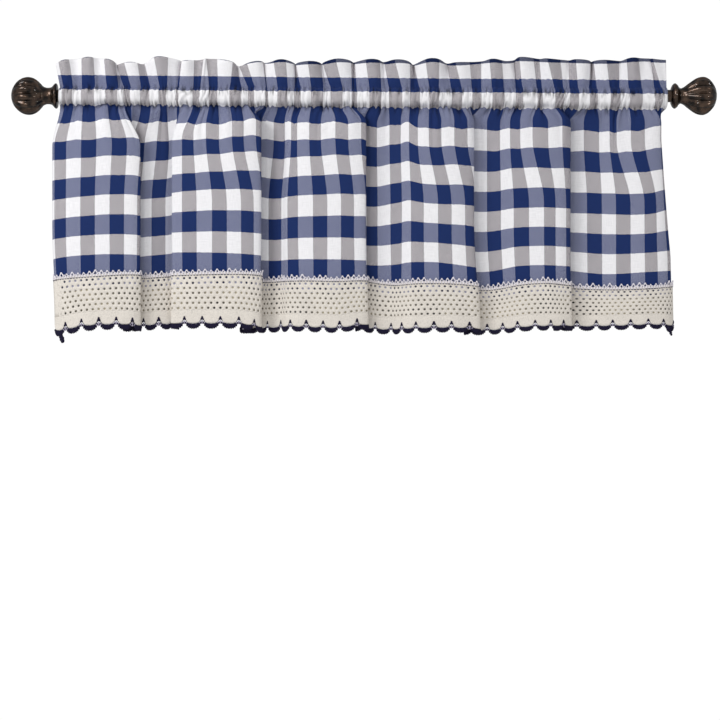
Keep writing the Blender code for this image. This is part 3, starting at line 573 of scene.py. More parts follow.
slub_across = add_node(tree, "ShaderNodeMapping", {0: flat_uv, "Scale": (90.0, 1500.0, 1.0)})
warp_slub = add_node(tree, "ShaderNodeTexNoise", {"Vector": slub_along, "Scale": 1.0})
weft_slub = add_node(tree, "ShaderNodeTexNoise", {"Vector": slub_across, "Scale": 1.0})
slub = add_node(tree, "ShaderNodeMath", [warp_slub, weft_slub], operation="ADD")
shade = add_node(tree, "ShaderNodeMath", [slub, 0.26, 0.74], operation="MULTIPLY_ADD")
# Fine creases run across the stitched rows, on both sides of the pocket. They are deep and
# too narrow for the mesh, so they are drawn as relief and as lines of painted shade.
crease_spot = add_node(tree, "ShaderNodeMapping", {0: flat_uv, "Scale": (230.0, 32.0, 1.0)})
creases = add_node(tree, "ShaderNodeTexNoise",
                   {"Vector": crease_spot, "Scale": 1.0, "Detail": 3.0})
from_pocket = add_node(tree, "ShaderNodeMath",
                       [add_node(tree, "ShaderNodeMath", [row, 2.45], operation="SUBTRACT")],
                       operation="ABSOLUTE")
creased = add_node(tree, "ShaderNodeMapRange", {0: from_pocket, 1: 0.6, 2: 1.5, 3: 1.0, 4: 0.0})
crease_height = add_node(tree, "ShaderNodeMath", [creases, creased], operation="MULTIPLY")
from_stitch = add_node(tree, "ShaderNodeMath",
                       [add_node(tree, "ShaderNodeMath", [from_pocket, 0.5],
                                 operation="SUBTRACT")], operation="ABSOLUTE")
beside_stitch = add_node(tree, "ShaderNodeMapRange",
                         {0: from_stitch, 1: 0.04, 2: 0.42, 3: 1.0, 4: 0.0})
narrow = add_node(tree, "ShaderNodeMapRange", {0: creases, 1: 0.36, 2: 0.5, 3: 0.7, 4: 0.0})
painted_crease_shade = add_node(tree, "ShaderNodeMath",
                        [1.0,
                         add_node(tree, "ShaderNodeMath", [narrow, beside_stitch],
                                  operation="MULTIPLY")], operation="SUBTRACT")
shade = add_node(tree, "ShaderNodeMath", [shade, painted_crease_shade], operation="MULTIPLY")
# Painted shade along the heading's top edge, where the cloth turns over and catches little light
from_edge = add_node(tree, "ShaderNodeMath",
                     [add_node(tree, "ShaderNodeMath", [row, 0.16], operation="ADD")],
                     operation="ABSOLUTE")
painted_edge_shade = add_node(tree, "ShaderNodeMapRange",
                      {0: from_edge, 1: 0.12, 2: 0.18, 3: 0.5, 4: 1.0})
shade = add_node(tree, "ShaderNodeMath", [shade, painted_edge_shade], operation="MULTIPLY")
shaded = add_node(tree, "ShaderNodeVectorMath", {0: yarn_colour, 3: shade}, operation="SCALE")
tree.links.new(shaded.outputs[0], shader.inputs["Base Color"])
warp_round = add_node(tree, "ShaderNodeMath",
                      [add_node(tree, "ShaderNodeMath",
                                [add_node(tree, "ShaderNodeMath", [warp_count, math.pi],
                                          operation="MULTIPLY")], operation="SINE")],
                      operation="ABSOLUTE")
weft_round = add_node(tree, "ShaderNodeMath",
                      [add_node(tree, "ShaderNodeMath",
                                [add_node(tree, "ShaderNodeMath", [weft_count, math.pi],
                                          operation="MULTIPLY")], operation="SINE")],
                      operation="ABSOLUTE")
thread = add_node(tree, "ShaderNodeMix", {0: warp_over, 2: weft_round, 3: warp_round})
crumple = add_node(tree, "ShaderNodeTexNoise", {"Vector": flat_uv, "Scale": 55.0})
relief = add_node(tree, "ShaderNodeMath", [crumple, 6.0, thread], operation="MULTIPLY_ADD")
bump = add_node(tree, "ShaderNodeBump",
                {"Strength": 0.35, "Distance": 0.12 * MM, "Height": relief})
crease_bump = add_node(tree, "ShaderNodeBump",
                       {"Strength": 0.9, "Distance": 2.4 * MM, "Height": crease_height,
                        "Normal": bump})
tree.links.new(crease_bump.outputs[0], shader.inputs["Normal"])
shader.inputs["Roughness"].default_value = 0.88
shader.inputs["Specular IOR Level"].default_value = 0.15
shader.inputs["Sheen Weight"].default_value = 0.02
panel_mesh.materials.append(gingham)

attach(panel, "root")
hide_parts("valance_panel")
solidify = panel.modifiers.new("cloth_thickness", "SOLIDIFY")
solidify.thickness = CLOTH_THICKNESS
solidify.offset = 0.0

# Crochet lace strip
# A cream cotton crochet strip, about 1.19 m long, sewn over the front of the hem: seven offset
# rows of small round meshes, then solid shell fans, three meshes to a fan. Its hollows are
# closed and painted with shade: dark, or the gingham hem's navy and white darkened by shade.
LACE_LIFT = 1.7 * MM
LACE_THICKNESS = 0.5 * MM
MESH_ROWS = 7
MESHES_PER_FAN = 3
FAN_COUNT = 53
MESH_HEIGHT = 6.3 * MM
FAN_TOP = 8.0 * MM
NET_TOP = FAN_TOP + MESH_ROWS * MESH_HEIGHT
FAN_DROP = 8.3 * MM
EDGING_DROP = 16.0 * MM
SEAM_BAND = 3.4 * MM
BASE_MARGIN = 12.0 * MM
FAN_WIDTH = PANEL_WIDTH / FAN_COUNT
MESH_WIDTH = FAN_WIDTH / MESHES_PER_FAN
PLAIN_MESHES = 3

# The dark thread line on top of the strip and the lowest points of the edging
THREAD_LINE = [Level(*row) for row in (
    (-0.4, 281.0), (1.0, 279.4), (3.0, 277.5), (5.5, 275.8), (8.0, 277.5), (9.3, 278.6),
    (11.0, 277.3), (13.5, 276.4), (19.5, 276.4), (21.5, 279.4), (23.0, 282.2), (25.5, 281.9),
    (28.0, 281.9), (29.6, 282.4), (31.3, 281.7), (34.4, 283.0), (36.0, 285.6), (39.0, 284.4),
    (40.7, 284.7), (42.0, 286.0), (43.5, 288.6), (46.0, 290.5), (47.5, 287.8), (48.5, 285.6),
    (50.0, 284.2), (51.7, 285.6), (54.0, 288.0), (58.5, 290.2), (61.0, 288.6), (62.5, 286.9),
    (63.82, 286.0))]
EDGING_FOOT = [Level(*row) for row in (
    (-0.4, 337.0), (0.6, 336.0), (2.0, 332.3), (3.3, 330.7), (5.0, 330.4), (6.0, 331.4),
    (9.2, 331.4), (10.5, 330.0), (12.5, 329.6), (16.0, 329.2), (18.0, 329.8), (19.3, 332.4),
    (24.0, 333.0), (26.0, 332.0), (28.6, 333.0), (30.0, 333.2), (30.9, 331.0), (34.3, 333.4),
    (35.4, 334.6), (38.0, 333.8), (41.3, 333.1), (43.5, 335.0), (45.4, 335.4), (47.6, 333.2),
    (48.8, 331.7), (51.8, 331.1), (55.2, 331.2), (58.7, 330.2), (60.6, 329.4), (62.2, 330.4),
    (63.82, 333.0))]
NOTCH_RISE_LEFT_PX, NOTCH_RISE_RIGHT_PX = 12.8, 10.2
BASE_LEVELS = (-32.0, -28.0, -24.0, -20.0, -16.0, -12.0, -8.0, -4.0, 0.0, 8.0, 16.0, 24.0,
               32.0, 40.0, 48.0, 52.1, 56.0, 60.0, 64.0)

# The surface that the strip lies on, in front of the hem, with its flat size as its map
notch_px = NOTCH_RISE_LEFT_PX + station_share * (NOTCH_RISE_RIGHT_PX - NOTCH_RISE_LEFT_PX)
notch_px = table_value(EDGING_FOOT, "px", stations) - notch_px
notch_height = from_pixel_y(notch_px, 0.0)
foot_height = level(EDGING_FOOT, stations)
thread_height = level(THREAD_LINE, stations)
flat_x = (stations - FIRST_COLUMN) * CHECK_WIDTH
base_mesh = bpy.data.meshes.new("hem_face")
base_shell = bmesh.new()
base_rows = []
outward = []
for tall in BASE_LEVELS:
    tall = tall * MM
    if tall < 0.0:
        height = notch_height + tall / EDGING_DROP * (notch_height - foot_height)
    elif tall < NET_TOP:
        height = notch_height + tall / NET_TOP * (thread_height - notch_height)
    else:
        height = thread_height + tall - NET_TOP
    across, depth = skirt_plan(stations, height)
    side_x, side_y = plan_normals(across, depth)
    points = np.stack([across + LACE_LIFT * side_x, depth + LACE_LIFT * side_y, height], axis=1)
    sides = np.stack([side_x, side_y, np.zeros_like(side_x)], axis=1)
    slope_in = (points[0] - points[3]) / (flat_x[3] - flat_x[0])
    slope_out = (points[-1] - points[-4]) / (flat_x[-1] - flat_x[-4])
    points = np.vstack([points[0] + BASE_MARGIN * slope_in, points,
                        points[-1] + BASE_MARGIN * slope_out])
    sides = np.vstack([sides[0], sides, sides[-1]])
    flats = np.concatenate([[-BASE_MARGIN], flat_x, [flat_x[-1] + BASE_MARGIN]])
    base_rows.append([(base_shell.verts.new(point), (flat, tall))
                      for point, flat in zip(points, flats)])
    outward.append(sides)
base_uv = base_shell.loops.layers.uv.new("flat_cloth")
for lower, upper in zip(base_rows, base_rows[1:]):
    for place in range(len(lower) - 1):
        ring = (lower[place], lower[place + 1], upper[place + 1], upper[place])
        face = base_shell.faces.new([vertex for vertex, spot in ring])
        for loop, (vertex, spot) in zip(face.loops, ring):
            loop[base_uv].uv = spot
base_shell.to_mesh(base_mesh)
base_shell.free()
sides = base_mesh.attributes.new("outward", "FLOAT_VECTOR", "POINT")
sides.data.foreach_set("vector", np.concatenate(outward).ravel())
hem_face = bpy.data.objects.new("hem_face", base_mesh)
bpy.context.scene.collection.objects.link(hem_face)


def new_tree(name, inputs):
    """A node tree that makes a mesh, with these named inputs."""
    tree = bpy.data.node_groups.new(name, "GeometryNodeTree")
    for title, kind in inputs:
        tree.interface.new_socket(title, in_out="INPUT", socket_type="NodeSocket" + kind)
    tree.interface.new_socket("Geometry", in_out="OUTPUT", socket_type="NodeSocketGeometry")
    return tree, add_node(tree, "NodeGroupInput"), add_node(tree, "NodeGroupOutput")


def lay_on_face(tree, mesh, face, material, output):
    """Ends a tree: flat X and Y go onto the face by its map, flat Z goes out from it."""
    surface = add_node(tree, "GeometryNodeObjectInfo", {"Object": face})
    spot_map = add_node(tree, "GeometryNodeInputNamedAttribute", {"Name": "flat_cloth"},
                        data_type="FLOAT_VECTOR")
    out_map = add_node(tree, "GeometryNodeInputNamedAttribute", {"Name": "outward"},
                       data_type="FLOAT_VECTOR")
    place = add_node(tree, "GeometryNodeInputPosition")
    flat = add_node(tree, "ShaderNodeSeparateXYZ", {0: place})
    kept = add_node(tree, "GeometryNodeStoreNamedAttribute",
                    {"Geometry": mesh, "Name": "relief", "Value": flat.outputs[2]},
                    data_type="FLOAT", domain="POINT")
    kept = add_node(tree, "GeometryNodeStoreNamedAttribute",
                    {"Geometry": kept, "Name": "flat_cloth",
                     "Value": place}, data_type="FLOAT2", domain="CORNER")
    on_face = add_node(tree, "GeometryNodeSampleUVSurface",
                       {0: surface.outputs["Geometry"], "Value": place,
                        "Source UV Map": spot_map, "Sample UV": place},
                       data_type="FLOAT_VECTOR")
    out = add_node(tree, "GeometryNodeSampleUVSurface",
                   {0: surface.outputs["Geometry"], "Value": out_map,
                    "Source UV Map": spot_map, "Sample UV": place},
                   data_type="FLOAT_VECTOR")
    lift = add_node(tree, "ShaderNodeVectorMath", {0: out, 3: flat.outputs[2]},
                    operation="SCALE")
    spot = add_node(tree, "ShaderNodeVectorMath", {0: on_face, 1: lift},
                    operation="ADD")
    moved = add_node(tree, "GeometryNodeSetPosition",
                     {"Geometry": kept, "Position": spot})
    joined = add_node(tree, "GeometryNodeMergeByDistance",
                      {"Geometry": moved, "Distance": 0.02 * MM})
    dressed = add_node(tree, "GeometryNodeSetMaterial",
                       {"Geometry": joined, "Material": material})
    tree.links.new(dressed.outputs[0], output.inputs[0])


def grow(name, tree, **values):
    """The plain mesh piece that a tree makes from these named inputs."""
    host = bpy.data.objects.new(name, bpy.data.meshes.new(name))
    bpy.context.scene.collection.objects.link(host)
    maker = host.modifiers.new(name, "NODES")
    maker.node_group = tree
    for socket in tree.interface.items_tree:
        if socket.in_out == "INPUT" and socket.name in values:
            maker[socket.identifier] = values[socket.name]
    made = bpy.data.meshes.new_from_object(
        host.evaluated_get(bpy.context.evaluated_depsgraph_get()))
    host.modifiers.remove(maker)
    host.data = made
    made.name = name
    return host


def motif(name, mesh_maker):
    """One flat element that a tree repeats. It is removed once the pieces are made."""
    mesh = bpy.data.meshes.new(name)
    shape = bmesh.new()
    mesh_maker(shape)
    shape.to_mesh(mesh)
    shape.free()
    mesh.shade_smooth()
    element = bpy.data.objects.new(name, mesh)
    bpy.context.scene.collection.objects.link(element)
    return element


# Rows of one element across the strip, every second row shifted by half a step
rows_tree, given, result = new_tree("rows_of_one_element", (
    ("Element", "Object"), ("Face", "Object"), ("Material", "Material"), ("Across", "Int"),
    ("Rows", "Int"), ("Step", "Float"), ("RowStep", "Float"), ("StartX", "Float"),
    ("StartY", "Float"), ("Lift", "Float"), ("Turn", "Float"), ("SizeSpread", "Float")))
element = add_node(rows_tree, "GeometryNodeObjectInfo", {"Object": given.outputs["Element"]})
total = add_node(rows_tree, "ShaderNodeMath", [given.outputs["Across"], given.outputs["Rows"]],
                 operation="MULTIPLY")
spots = add_node(rows_tree, "GeometryNodePoints", {"Count": total})
number = add_node(rows_tree, "GeometryNodeInputIndex")
row_number = add_node(rows_tree, "ShaderNodeMath",
                      [add_node(rows_tree, "ShaderNodeMath", [number, given.outputs["Across"]],
                                operation="DIVIDE")], operation="FLOOR")
in_row = add_node(rows_tree, "ShaderNodeMath",
                  [number,
                   add_node(rows_tree, "ShaderNodeMath", [row_number, given.outputs["Across"]],
                            operation="MULTIPLY")], operation="SUBTRACT")
half = add_node(rows_tree, "ShaderNodeMath",
                [add_node(rows_tree, "ShaderNodeMath", [row_number, 2.0],
                          operation="FLOORED_MODULO"), 0.5], operation="MULTIPLY")
steps = add_node(rows_tree, "ShaderNodeMath", [in_row, half], operation="ADD")
spot_x = add_node(rows_tree, "ShaderNodeMath",
                  [steps, given.outputs["Step"], given.outputs["StartX"]],
                  operation="MULTIPLY_ADD")
spot_y = add_node(rows_tree, "ShaderNodeMath",
                  [row_number, given.outputs["RowStep"], given.outputs["StartY"]],
                  operation="MULTIPLY_ADD")
spot = add_node(rows_tree, "ShaderNodeCombineXYZ",
                {0: spot_x, 1: spot_y, 2: given.outputs["Lift"]})
placed = add_node(rows_tree, "GeometryNodeSetPosition", {"Geometry": spots, "Position": spot})
least = add_node(rows_tree, "ShaderNodeMath", [1.0, given.outputs["SizeSpread"]],
                 operation="SUBTRACT")
most = add_node(rows_tree, "ShaderNodeMath", [1.0, given.outputs["SizeSpread"]], operation="ADD")
size = add_node(rows_tree, "FunctionNodeRandomValue", {2: least, 3: most, "Seed": 4},
                data_type="FLOAT")
turn = add_node(rows_tree, "ShaderNodeCombineXYZ", {2: given.outputs["Turn"]})
copies = add_node(rows_tree, "GeometryNodeInstanceOnPoints",
                  {"Points": placed, "Instance": element.outputs["Geometry"], "Rotation": turn,
                   "Scale": size.outputs[1]})
realized = add_node(rows_tree, "GeometryNodeRealizeInstances", {0: copies})
lay_on_face(rows_tree, realized, given.outputs["Face"], given.outputs["Material"],
            result)

HOLE_RADIUS = 1.62 * MM
PIT_RADIUS = 1.25 * MM
RIM_RELIEF = 0.22 * MM
CORD_RELIEF = 0.42 * MM
PIT_RELIEF = -0.55 * MM


def one_mesh(shape):
    """One crochet mesh: a cord frame round a closed hollow that the lace is painted dark in, as
    shade, its edge fitting its neighbours.
    """
    half_x = MESH_WIDTH / 2
    half_y = MESH_HEIGHT / 2
    frame_points = [(half_x, 0.0), (half_x, half_y), (half_x / 2, half_y), (0.0, half_y),
                    (-half_x / 2, half_y), (-half_x, half_y), (-half_x, 0.0),
                    (-half_x, -half_y), (-half_x / 2, -half_y), (0.0, -half_y),
                    (half_x / 2, -half_y), (half_x, -half_y)]
    rings = [[shape.verts.new((x, y, CORD_RELIEF)) for x, y in frame_points]]
    for radius, relief in ((HOLE_RADIUS, RIM_RELIEF), (PIT_RADIUS, PIT_RELIEF)):
        ring = []
        for place in range(len(frame_points)):
            angle = 2.0 * math.pi * place / len(frame_points)
            ring.append(shape.verts.new((1.08 * radius * math.cos(angle),
                                         radius * math.sin(angle), relief)))
        rings.append(ring)
    for outer, inner in zip(rings, rings[1:]):
        for place in range(len(outer)):
            after = (place + 1) % len(outer)
            shape.faces.new((outer[place], outer[after], inner[after], inner[place]))
    shape.faces.new(rings[-1])


lace_mesh_element = motif("one_mesh", one_mesh)

# Crochet cotton: matt twisted yarn with fuzz, its loops drawn about 1 mm across
crochet = bpy.data.materials.new("cream_crochet_cotton")
crochet.use_nodes = True
tree = crochet.node_tree
shader = tree.nodes["Principled BSDF"]
flat_uv = add_node(tree, "ShaderNodeUVMap", uv_map="flat_cloth")
flat_xyz = add_node(tree, "ShaderNodeSeparateXYZ", {0: flat_uv})
relief = add_node(tree, "ShaderNodeAttribute", attribute_name="relief")
hollow = add_node(tree, "ShaderNodeMapRange",
                  {0: relief.outputs["Fac"], 1: 0.5 * RIM_RELIEF, 2: PIT_RELIEF, 3: 0.0, 4: 1.0})
column = add_node(tree, "ShaderNodeMath", [flat_xyz.outputs[0], 1.0 / CHECK_WIDTH, FIRST_COLUMN],
                  operation="MULTIPLY_ADD")
over_navy = add_node(tree, "ShaderNodeMath",
                     [add_node(tree, "ShaderNodeMath", [column, 2.0], operation="FLOORED_MODULO"),
                      1.0], operation="LESS_THAN")
# The closed hollows are painted with shade: dark to a varying depth, and over the hem its navy
# and white darkened
shaded_hem_colour = add_node(tree, "ShaderNodeMix",
                      {0: over_navy, 6: linear("8F8FA2"), 7: linear("15193A")}, data_type="RGBA")
before_hem = add_node(tree, "ShaderNodeMath", [flat_xyz.outputs[1], NET_TOP - 2.4 * MESH_HEIGHT],
                      operation="GREATER_THAN")
wear = add_node(tree, "ShaderNodeTexNoise", {"Vector": flat_uv, "Scale": 38.0})
depth_spread = add_node(tree, "ShaderNodeTexNoise", {"Vector": flat_uv, "Scale": 21.0})
how_open = add_node(tree, "ShaderNodeMapRange",
                    {0: depth_spread, 1: 0.36, 2: 0.6, 3: 0.0, 4: 1.0})
shadow_colour = add_node(tree, "ShaderNodeMix",
                         {0: how_open, 6: linear("26231F"), 7: linear("A59C87")},
                         data_type="RGBA")
hollow_colour = add_node(tree, "ShaderNodeMix", {0: before_hem, 6: shadow_colour, 7: shaded_hem_colour},
                         data_type="RGBA")
loops = add_node(tree, "ShaderNodeTexVoronoi", {"Vector": flat_uv, "Scale": 950.0})
# Painted shade between the yarn loops: each loop is darker towards its edge
loop_shade = add_node(tree, "ShaderNodeMath", [loops.outputs["Distance"], -0.34, 1.1],
                      operation="MULTIPLY_ADD")
soil = add_node(tree, "ShaderNodeMath", [wear, 0.16, 0.92], operation="MULTIPLY_ADD")
yarn = add_node(tree, "ShaderNodeVectorMath",
                {0: linear("E6DFD6")[:3],
                 3: add_node(tree, "ShaderNodeMath", [loop_shade, soil], operation="MULTIPLY")},
                operation="SCALE")
lace_colour = add_node(tree, "ShaderNodeMix", {0: hollow, 6: yarn, 7: hollow_colour},
                       data_type="RGBA")
tree.links.new(lace_colour.outputs[2], shader.inputs["Base Color"])
bump = add_node(tree, "ShaderNodeBump",
                {"Strength": 0.5, "Distance": 0.25 * MM, "Height": loops.outputs["Distance"]},
                invert=True)
tree.links.new(bump.outputs[0], shader.inputs["Normal"])
shader.inputs["Roughness"].default_value = 0.93
shader.inputs["Sheen Weight"].default_value = 0.06

net_meshes = FAN_COUNT * MESHES_PER_FAN - 2 * PLAIN_MESHES // 2
net_start = (PANEL_WIDTH - (net_meshes - 0.5) * MESH_WIDTH) / 2
net = grow("lace_net", rows_tree, Element=lace_mesh_element, Face=hem_face, Material=crochet,
           Across=net_meshes, Rows=MESH_ROWS, Step=MESH_WIDTH, RowStep=MESH_HEIGHT,
           StartX=net_start + MESH_WIDTH / 4, StartY=FAN_TOP + MESH_HEIGHT / 2)

# The shell fans, with ribs that spread from the last row of meshes, and the solid side hems
FAN_STEPS = 18
FAN_ROWS = 9
FAN_RIBS = 7
FAN_RELIEF = 0.3 * MM


def one_fan(shape):
    """A solid fan from its meshes down to its round foot."""
    grid = []
    for down in range(FAN_ROWS + 1):
        line = []
        for step in range(FAN_STEPS + 1):
            side = 2.0 * step / FAN_STEPS - 1.0
            foot = -FAN_DROP * max(1.0 - abs(side) ** 3, 0.0) ** 0.6
            tall = FAN_TOP + 0.3 * MM + down / FAN_ROWS * (foot - FAN_TOP - 0.3 * MM)
            spread = math.sin(FAN_RIBS * math.pi * 0.5 * (side + 1.0)) ** 2
            grown = min(1.0, 1.6 * down / FAN_ROWS)
            relief = CORD_RELIEF + FAN_RELIEF * (spread - 0.5) * grown
            line.append(shape.verts.new((side * FAN_WIDTH / 2, tall, relief)))
        grid.append(line)
    for upper, lower in zip(grid, grid[1:]):
        for step in range(FAN_STEPS):
            shape.faces.new((lower[step], lower[step + 1], upper[step + 1], upper[step]))


fan_element = motif("one_fan", one_fan)
fans = grow("lace_fans", rows_tree, Element=fan_element, Face=hem_face, Material=crochet,
            Across=FAN_COUNT, Rows=1, Step=FAN_WIDTH, StartX=FAN_WIDTH / 2)


def plain_patch(width, low, high, across_steps, rows):
    """A maker of a plain solid-crochet patch of this flat size, hung from its upper edge."""
    def make(shape):
        grid = [[shape.verts.new((width * (step / across_steps - 0.5),
                                  low + (high - low) * row / rows, CORD_RELIEF - 0.1 * MM))
                 for step in range(across_steps + 1)] for row in range(rows + 1)]
        for lower, upper in zip(grid, grid[1:]):
            for step in range(across_steps):
                shape.faces.new((lower[step], lower[step + 1], upper[step + 1], upper[step]))
    return make


SIDE_HEM = net_start + 0.5 * MESH_WIDTH
band_element = motif("seam_band", plain_patch(MESH_WIDTH, NET_TOP, NET_TOP + SEAM_BAND, 2, 1))
side_element = motif("side_hem", plain_patch(SIDE_HEM, FAN_TOP, NET_TOP, 4, MESH_ROWS))
band = grow("lace_band", rows_tree, Element=band_element, Face=hem_face, Material=crochet,
            Across=FAN_COUNT * MESHES_PER_FAN, Rows=1, Step=MESH_WIDTH, StartX=MESH_WIDTH / 2)
side_hems = grow("lace_side_hems", rows_tree, Element=side_element, Face=hem_face,
                 Material=crochet, Across=2, Rows=1, Step=PANEL_WIDTH - SIDE_HEM,
                 StartX=SIDE_HEM / 2, Lift=-0.12 * MM)
whole = bmesh.new()
for part in (net, fans, band, side_hems):
    whole.from_mesh(part.data)
whole.to_mesh(net.data)
whole.free()
lace = net
lace.name = "crochet_lace"
for part in (fans, band, side_hems):
    bpy.data.objects.remove(part)
lace.data.shade_smooth()
thickness = lace.modifiers.new("lace_thickness", "SOLIDIFY")
thickness.thickness = LACE_THICKNESS
thickness.offset = -1.0
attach(lace, "root")
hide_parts("lace_trim")

# Picot heading of the lace
# White crochet cotton: a chain along the strip's top edge and a zigzag of small picots above
# it, one to each mesh, lying over the gingham. A navy thread line is sewn under the chain.

def add_bead(shape, centre, size, turn=0.0, around=8, along=5):
    """A stitch of yarn as a rounded bead: centre and size across, up and out in millimetres."""
    place = (Matrix.Translation([part * MM for part in centre]) @ Matrix.Rotation(turn, 4, "Z")
             @ Matrix.Diagonal((*[part * MM / 2 for part in size], 1.0)))
    bmesh.ops.create_uvsphere(shape, u_segments=around, v_segments=along, radius=1.0,
                              matrix=place)


def one_picot(shape):
    """Two slanting strands that meet in a knot."""
    add_bead(shape, (-1.7, 5.0, 0.5), (1.35, 4.9, 1.2), -0.5)
    add_bead(shape, (1.7, 5.0, 0.5), (1.35, 4.9, 1.2), 0.5)
    add_bead(shape, (0.0, 7.0, 0.8), (2.5, 2.3, 1.9))
    add_bead(shape, (3.7, 4.3, 0.6), (1.5, 1.9, 1.3))


def one_chain_stitch(shape):
    """One loop of the chain, a pair of strands side by side."""
    add_bead(shape, (0.0, 3.3, 0.7), (3.6, 1.7, 1.3), 0.25, 6, 4)
    add_bead(shape, (0.0, 1.8, 0.7), (3.6, 1.7, 1.3), -0.25, 6, 4)


def one_thread_stitch(shape):
    """A sewn stitch that dips into the cloth at both ends."""
    add_bead(shape, (0.0, 0.0, 0.55), (3.1, 1.15, 0.9), 0.0, 6, 4)


def yarn_cotton(name, dark, light, roughness, twist_scale, bump=0.0, bump_depth=0.0,
                specular=0.5):
    """Cotton yarn, mottled between two colours by its twist, with raised strands."""
    cotton = bpy.data.materials.new(name)
    cotton.use_nodes = True
    tree = cotton.node_tree
    shader = tree.nodes["Principled BSDF"]
    grain = add_node(tree, "ShaderNodeTexCoord")
    twist = add_node(tree, "ShaderNodeTexNoise",
                     {"Vector": grain.outputs["Object"], "Scale": twist_scale})
    tone = add_node(tree, "ShaderNodeMix", {0: twist, 6: linear(dark), 7: linear(light)},
                    data_type="RGBA")
    tree.links.new(tone.outputs[2], shader.inputs["Base Color"])
    if bump:
        raised = add_node(tree, "ShaderNodeBump",
                          {"Strength": bump, "Distance": bump_depth, "Height": twist})
        tree.links.new(raised.outputs[0], shader.inputs["Normal"])
    shader.inputs["Roughness"].default_value = roughness
    shader.inputs["Specular IOR Level"].default_value = specular
    return cotton


picot_cotton = yarn_cotton("white_crochet_cotton", "D5CDDC", "FFFDFD", 0.92, 900.0, 0.4,
                           0.2 * MM)

picot_element = motif("one_picot", one_picot)
chain_element = motif("one_chain_stitch", one_chain_stitch)
picots = grow("lace_picots", rows_tree, Element=picot_element, Face=hem_face,
              Material=picot_cotton, Across=FAN_COUNT * MESHES_PER_FAN, Rows=1, Step=MESH_WIDTH,
              StartX=MESH_WIDTH / 2, StartY=NET_TOP, SizeSpread=0.2)
chain = grow("lace_chain", rows_tree, Element=chain_element, Face=hem_face, Material=picot_cotton,
             Across=2 * FAN_COUNT * MESHES_PER_FAN, Rows=1, Step=MESH_WIDTH / 2,
             StartX=MESH_WIDTH / 4, StartY=NET_TOP, SizeSpread=0.1)
for piece in (picots, chain):
    piece.data.shade_smooth()
    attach(piece, "root")

# Mercerised sewing thread, navy, slightly shiny
thread_cotton = yarn_cotton("navy_sewing_thread", "171430", "3A3A63", 0.6, 700.0)

thread_element = motif("one_thread_stitch", one_thread_stitch)
thread_line = grow("lace_thread_line", rows_tree, Element=thread_element, Face=hem_face,
                   Material=thread_cotton, Across=2 * FAN_COUNT * MESHES_PER_FAN, Rows=1,
                   Step=MESH_WIDTH / 2, StartX=MESH_WIDTH / 4, StartY=NET_TOP + 0.2 * MM,
                   SizeSpread=0.15)
thread_line.data.shade_smooth()
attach(thread_line, "root")

# Navy crochet edging
# Navy cotton worked along the fans: a thick crescent of tight stitches under each fan's foot,
# a knot with two strands in each notch, pale loops below it, and a tail at both corners.
STITCHES_PER_FAN = 11
CRESCENT_MIDDLE = 12.1
CRESCENT_END_RISE = 5.6
CRESCENT_HALF_HEIGHT = 4.2
LEFT_TAIL_ACROSS = 13.9 * MM
RIGHT_TAIL_IN = 35.0 * MM


def one_crescent(shape):
    """The edging of one fan: tight stitches in a crescent whose ends rise to the notches."""
    half_fan = FAN_WIDTH / 2 / MM
    for place in range(STITCHES_PER_FAN):
        side = (place + 0.5) / STITCHES_PER_FAN * 2.0 - 1.0
        middle = -CRESCENT_MIDDLE + CRESCENT_END_RISE * abs(side) ** 2.6
        tall = max(2.0 * CRESCENT_HALF_HEIGHT * (1.0 - abs(side) ** 2.6) ** 0.6, 2.0)
        add_bead(shape, (0.93 * side * half_fan, middle, 0.1), (2.9, tall, 2.6), 0.3 * side, 8, 6)


def one_notch(shape):
    """The dark knot in the point of a notch, with two strands down to the crescents."""
    add_bead(shape, (0.0, -1.3, 0.6), (3.0, 4.8, 1.9), 0.0, 8, 6)
    add_bead(shape, (-1.0, -3.0, 0.5), (2.6, 3.8, 1.9), -0.3, 8, 6)
    add_bead(shape, (1.0, -3.0, 0.5), (2.6, 3.8, 1.9), 0.3, 8, 6)
    add_bead(shape, (-2.7, -5.6, 0.2), (1.1, 3.4, 1.2), -0.5, 6, 5)
    add_bead(shape, (2.7, -5.6, 0.2), (1.1, 3.4, 1.2), 0.5, 6, 5)


def left_tail(shape):
    """The knotted end of the edging at the left corner of the strip, hanging straight."""
    add_bead(shape, (1.0, -16.4, 0.1), (6.6, 6.4, 5.0), 0.4)
    add_bead(shape, (2.6, -19.4, 0.1), (7.6, 7.0, 5.0), 0.4)
    add_bead(shape, (3.8, -22.2, 0.1), (6.0, 6.0, 4.4), 0.3)


def right_tail(shape):
    """The knotted end at the right corner, hanging askew."""
    add_bead(shape, (-1.6, -13.4, 0.1), (6.4, 6.4, 4.6))
    add_bead(shape, (1.6, -16.6, 0.3), (6.2, 6.0, 4.6), -0.5)
    add_bead(shape, (4.2, -20.0, 0.6), (4.6, 6.0, 4.0), -0.5)
    add_bead(shape, (5.6, -22.6, 0.8), (3.0, 4.0, 3.0), -0.5)


def one_light_web(shape):
    """The loose pale loops that fill a notch below its knot."""
    add_bead(shape, (0.0, -6.4, 0.6), (3.6, 3.6, 1.4), 0.0, 6, 5)
    add_bead(shape, (-2.7, -7.9, 0.5), (4.4, 2.6, 1.4), 0.45, 6, 5)
    add_bead(shape, (2.7, -7.9, 0.5), (4.4, 2.6, 1.4), -0.45, 6, 5)
    add_bead(shape, (0.0, -8.9, 0.3), (3.4, 2.4, 1.4), 0.0, 6, 5)


loose_cotton = yarn_cotton("pale_lilac_crochet_loops", "6F6983", "C9C2D2", 0.9, 800.0, 0.5,
                           0.3 * MM)

navy_crochet = yarn_cotton("navy_crochet_cotton", "07050F", "221D40", 0.85, 650.0, 0.5,
                           0.3 * MM, specular=0.2)

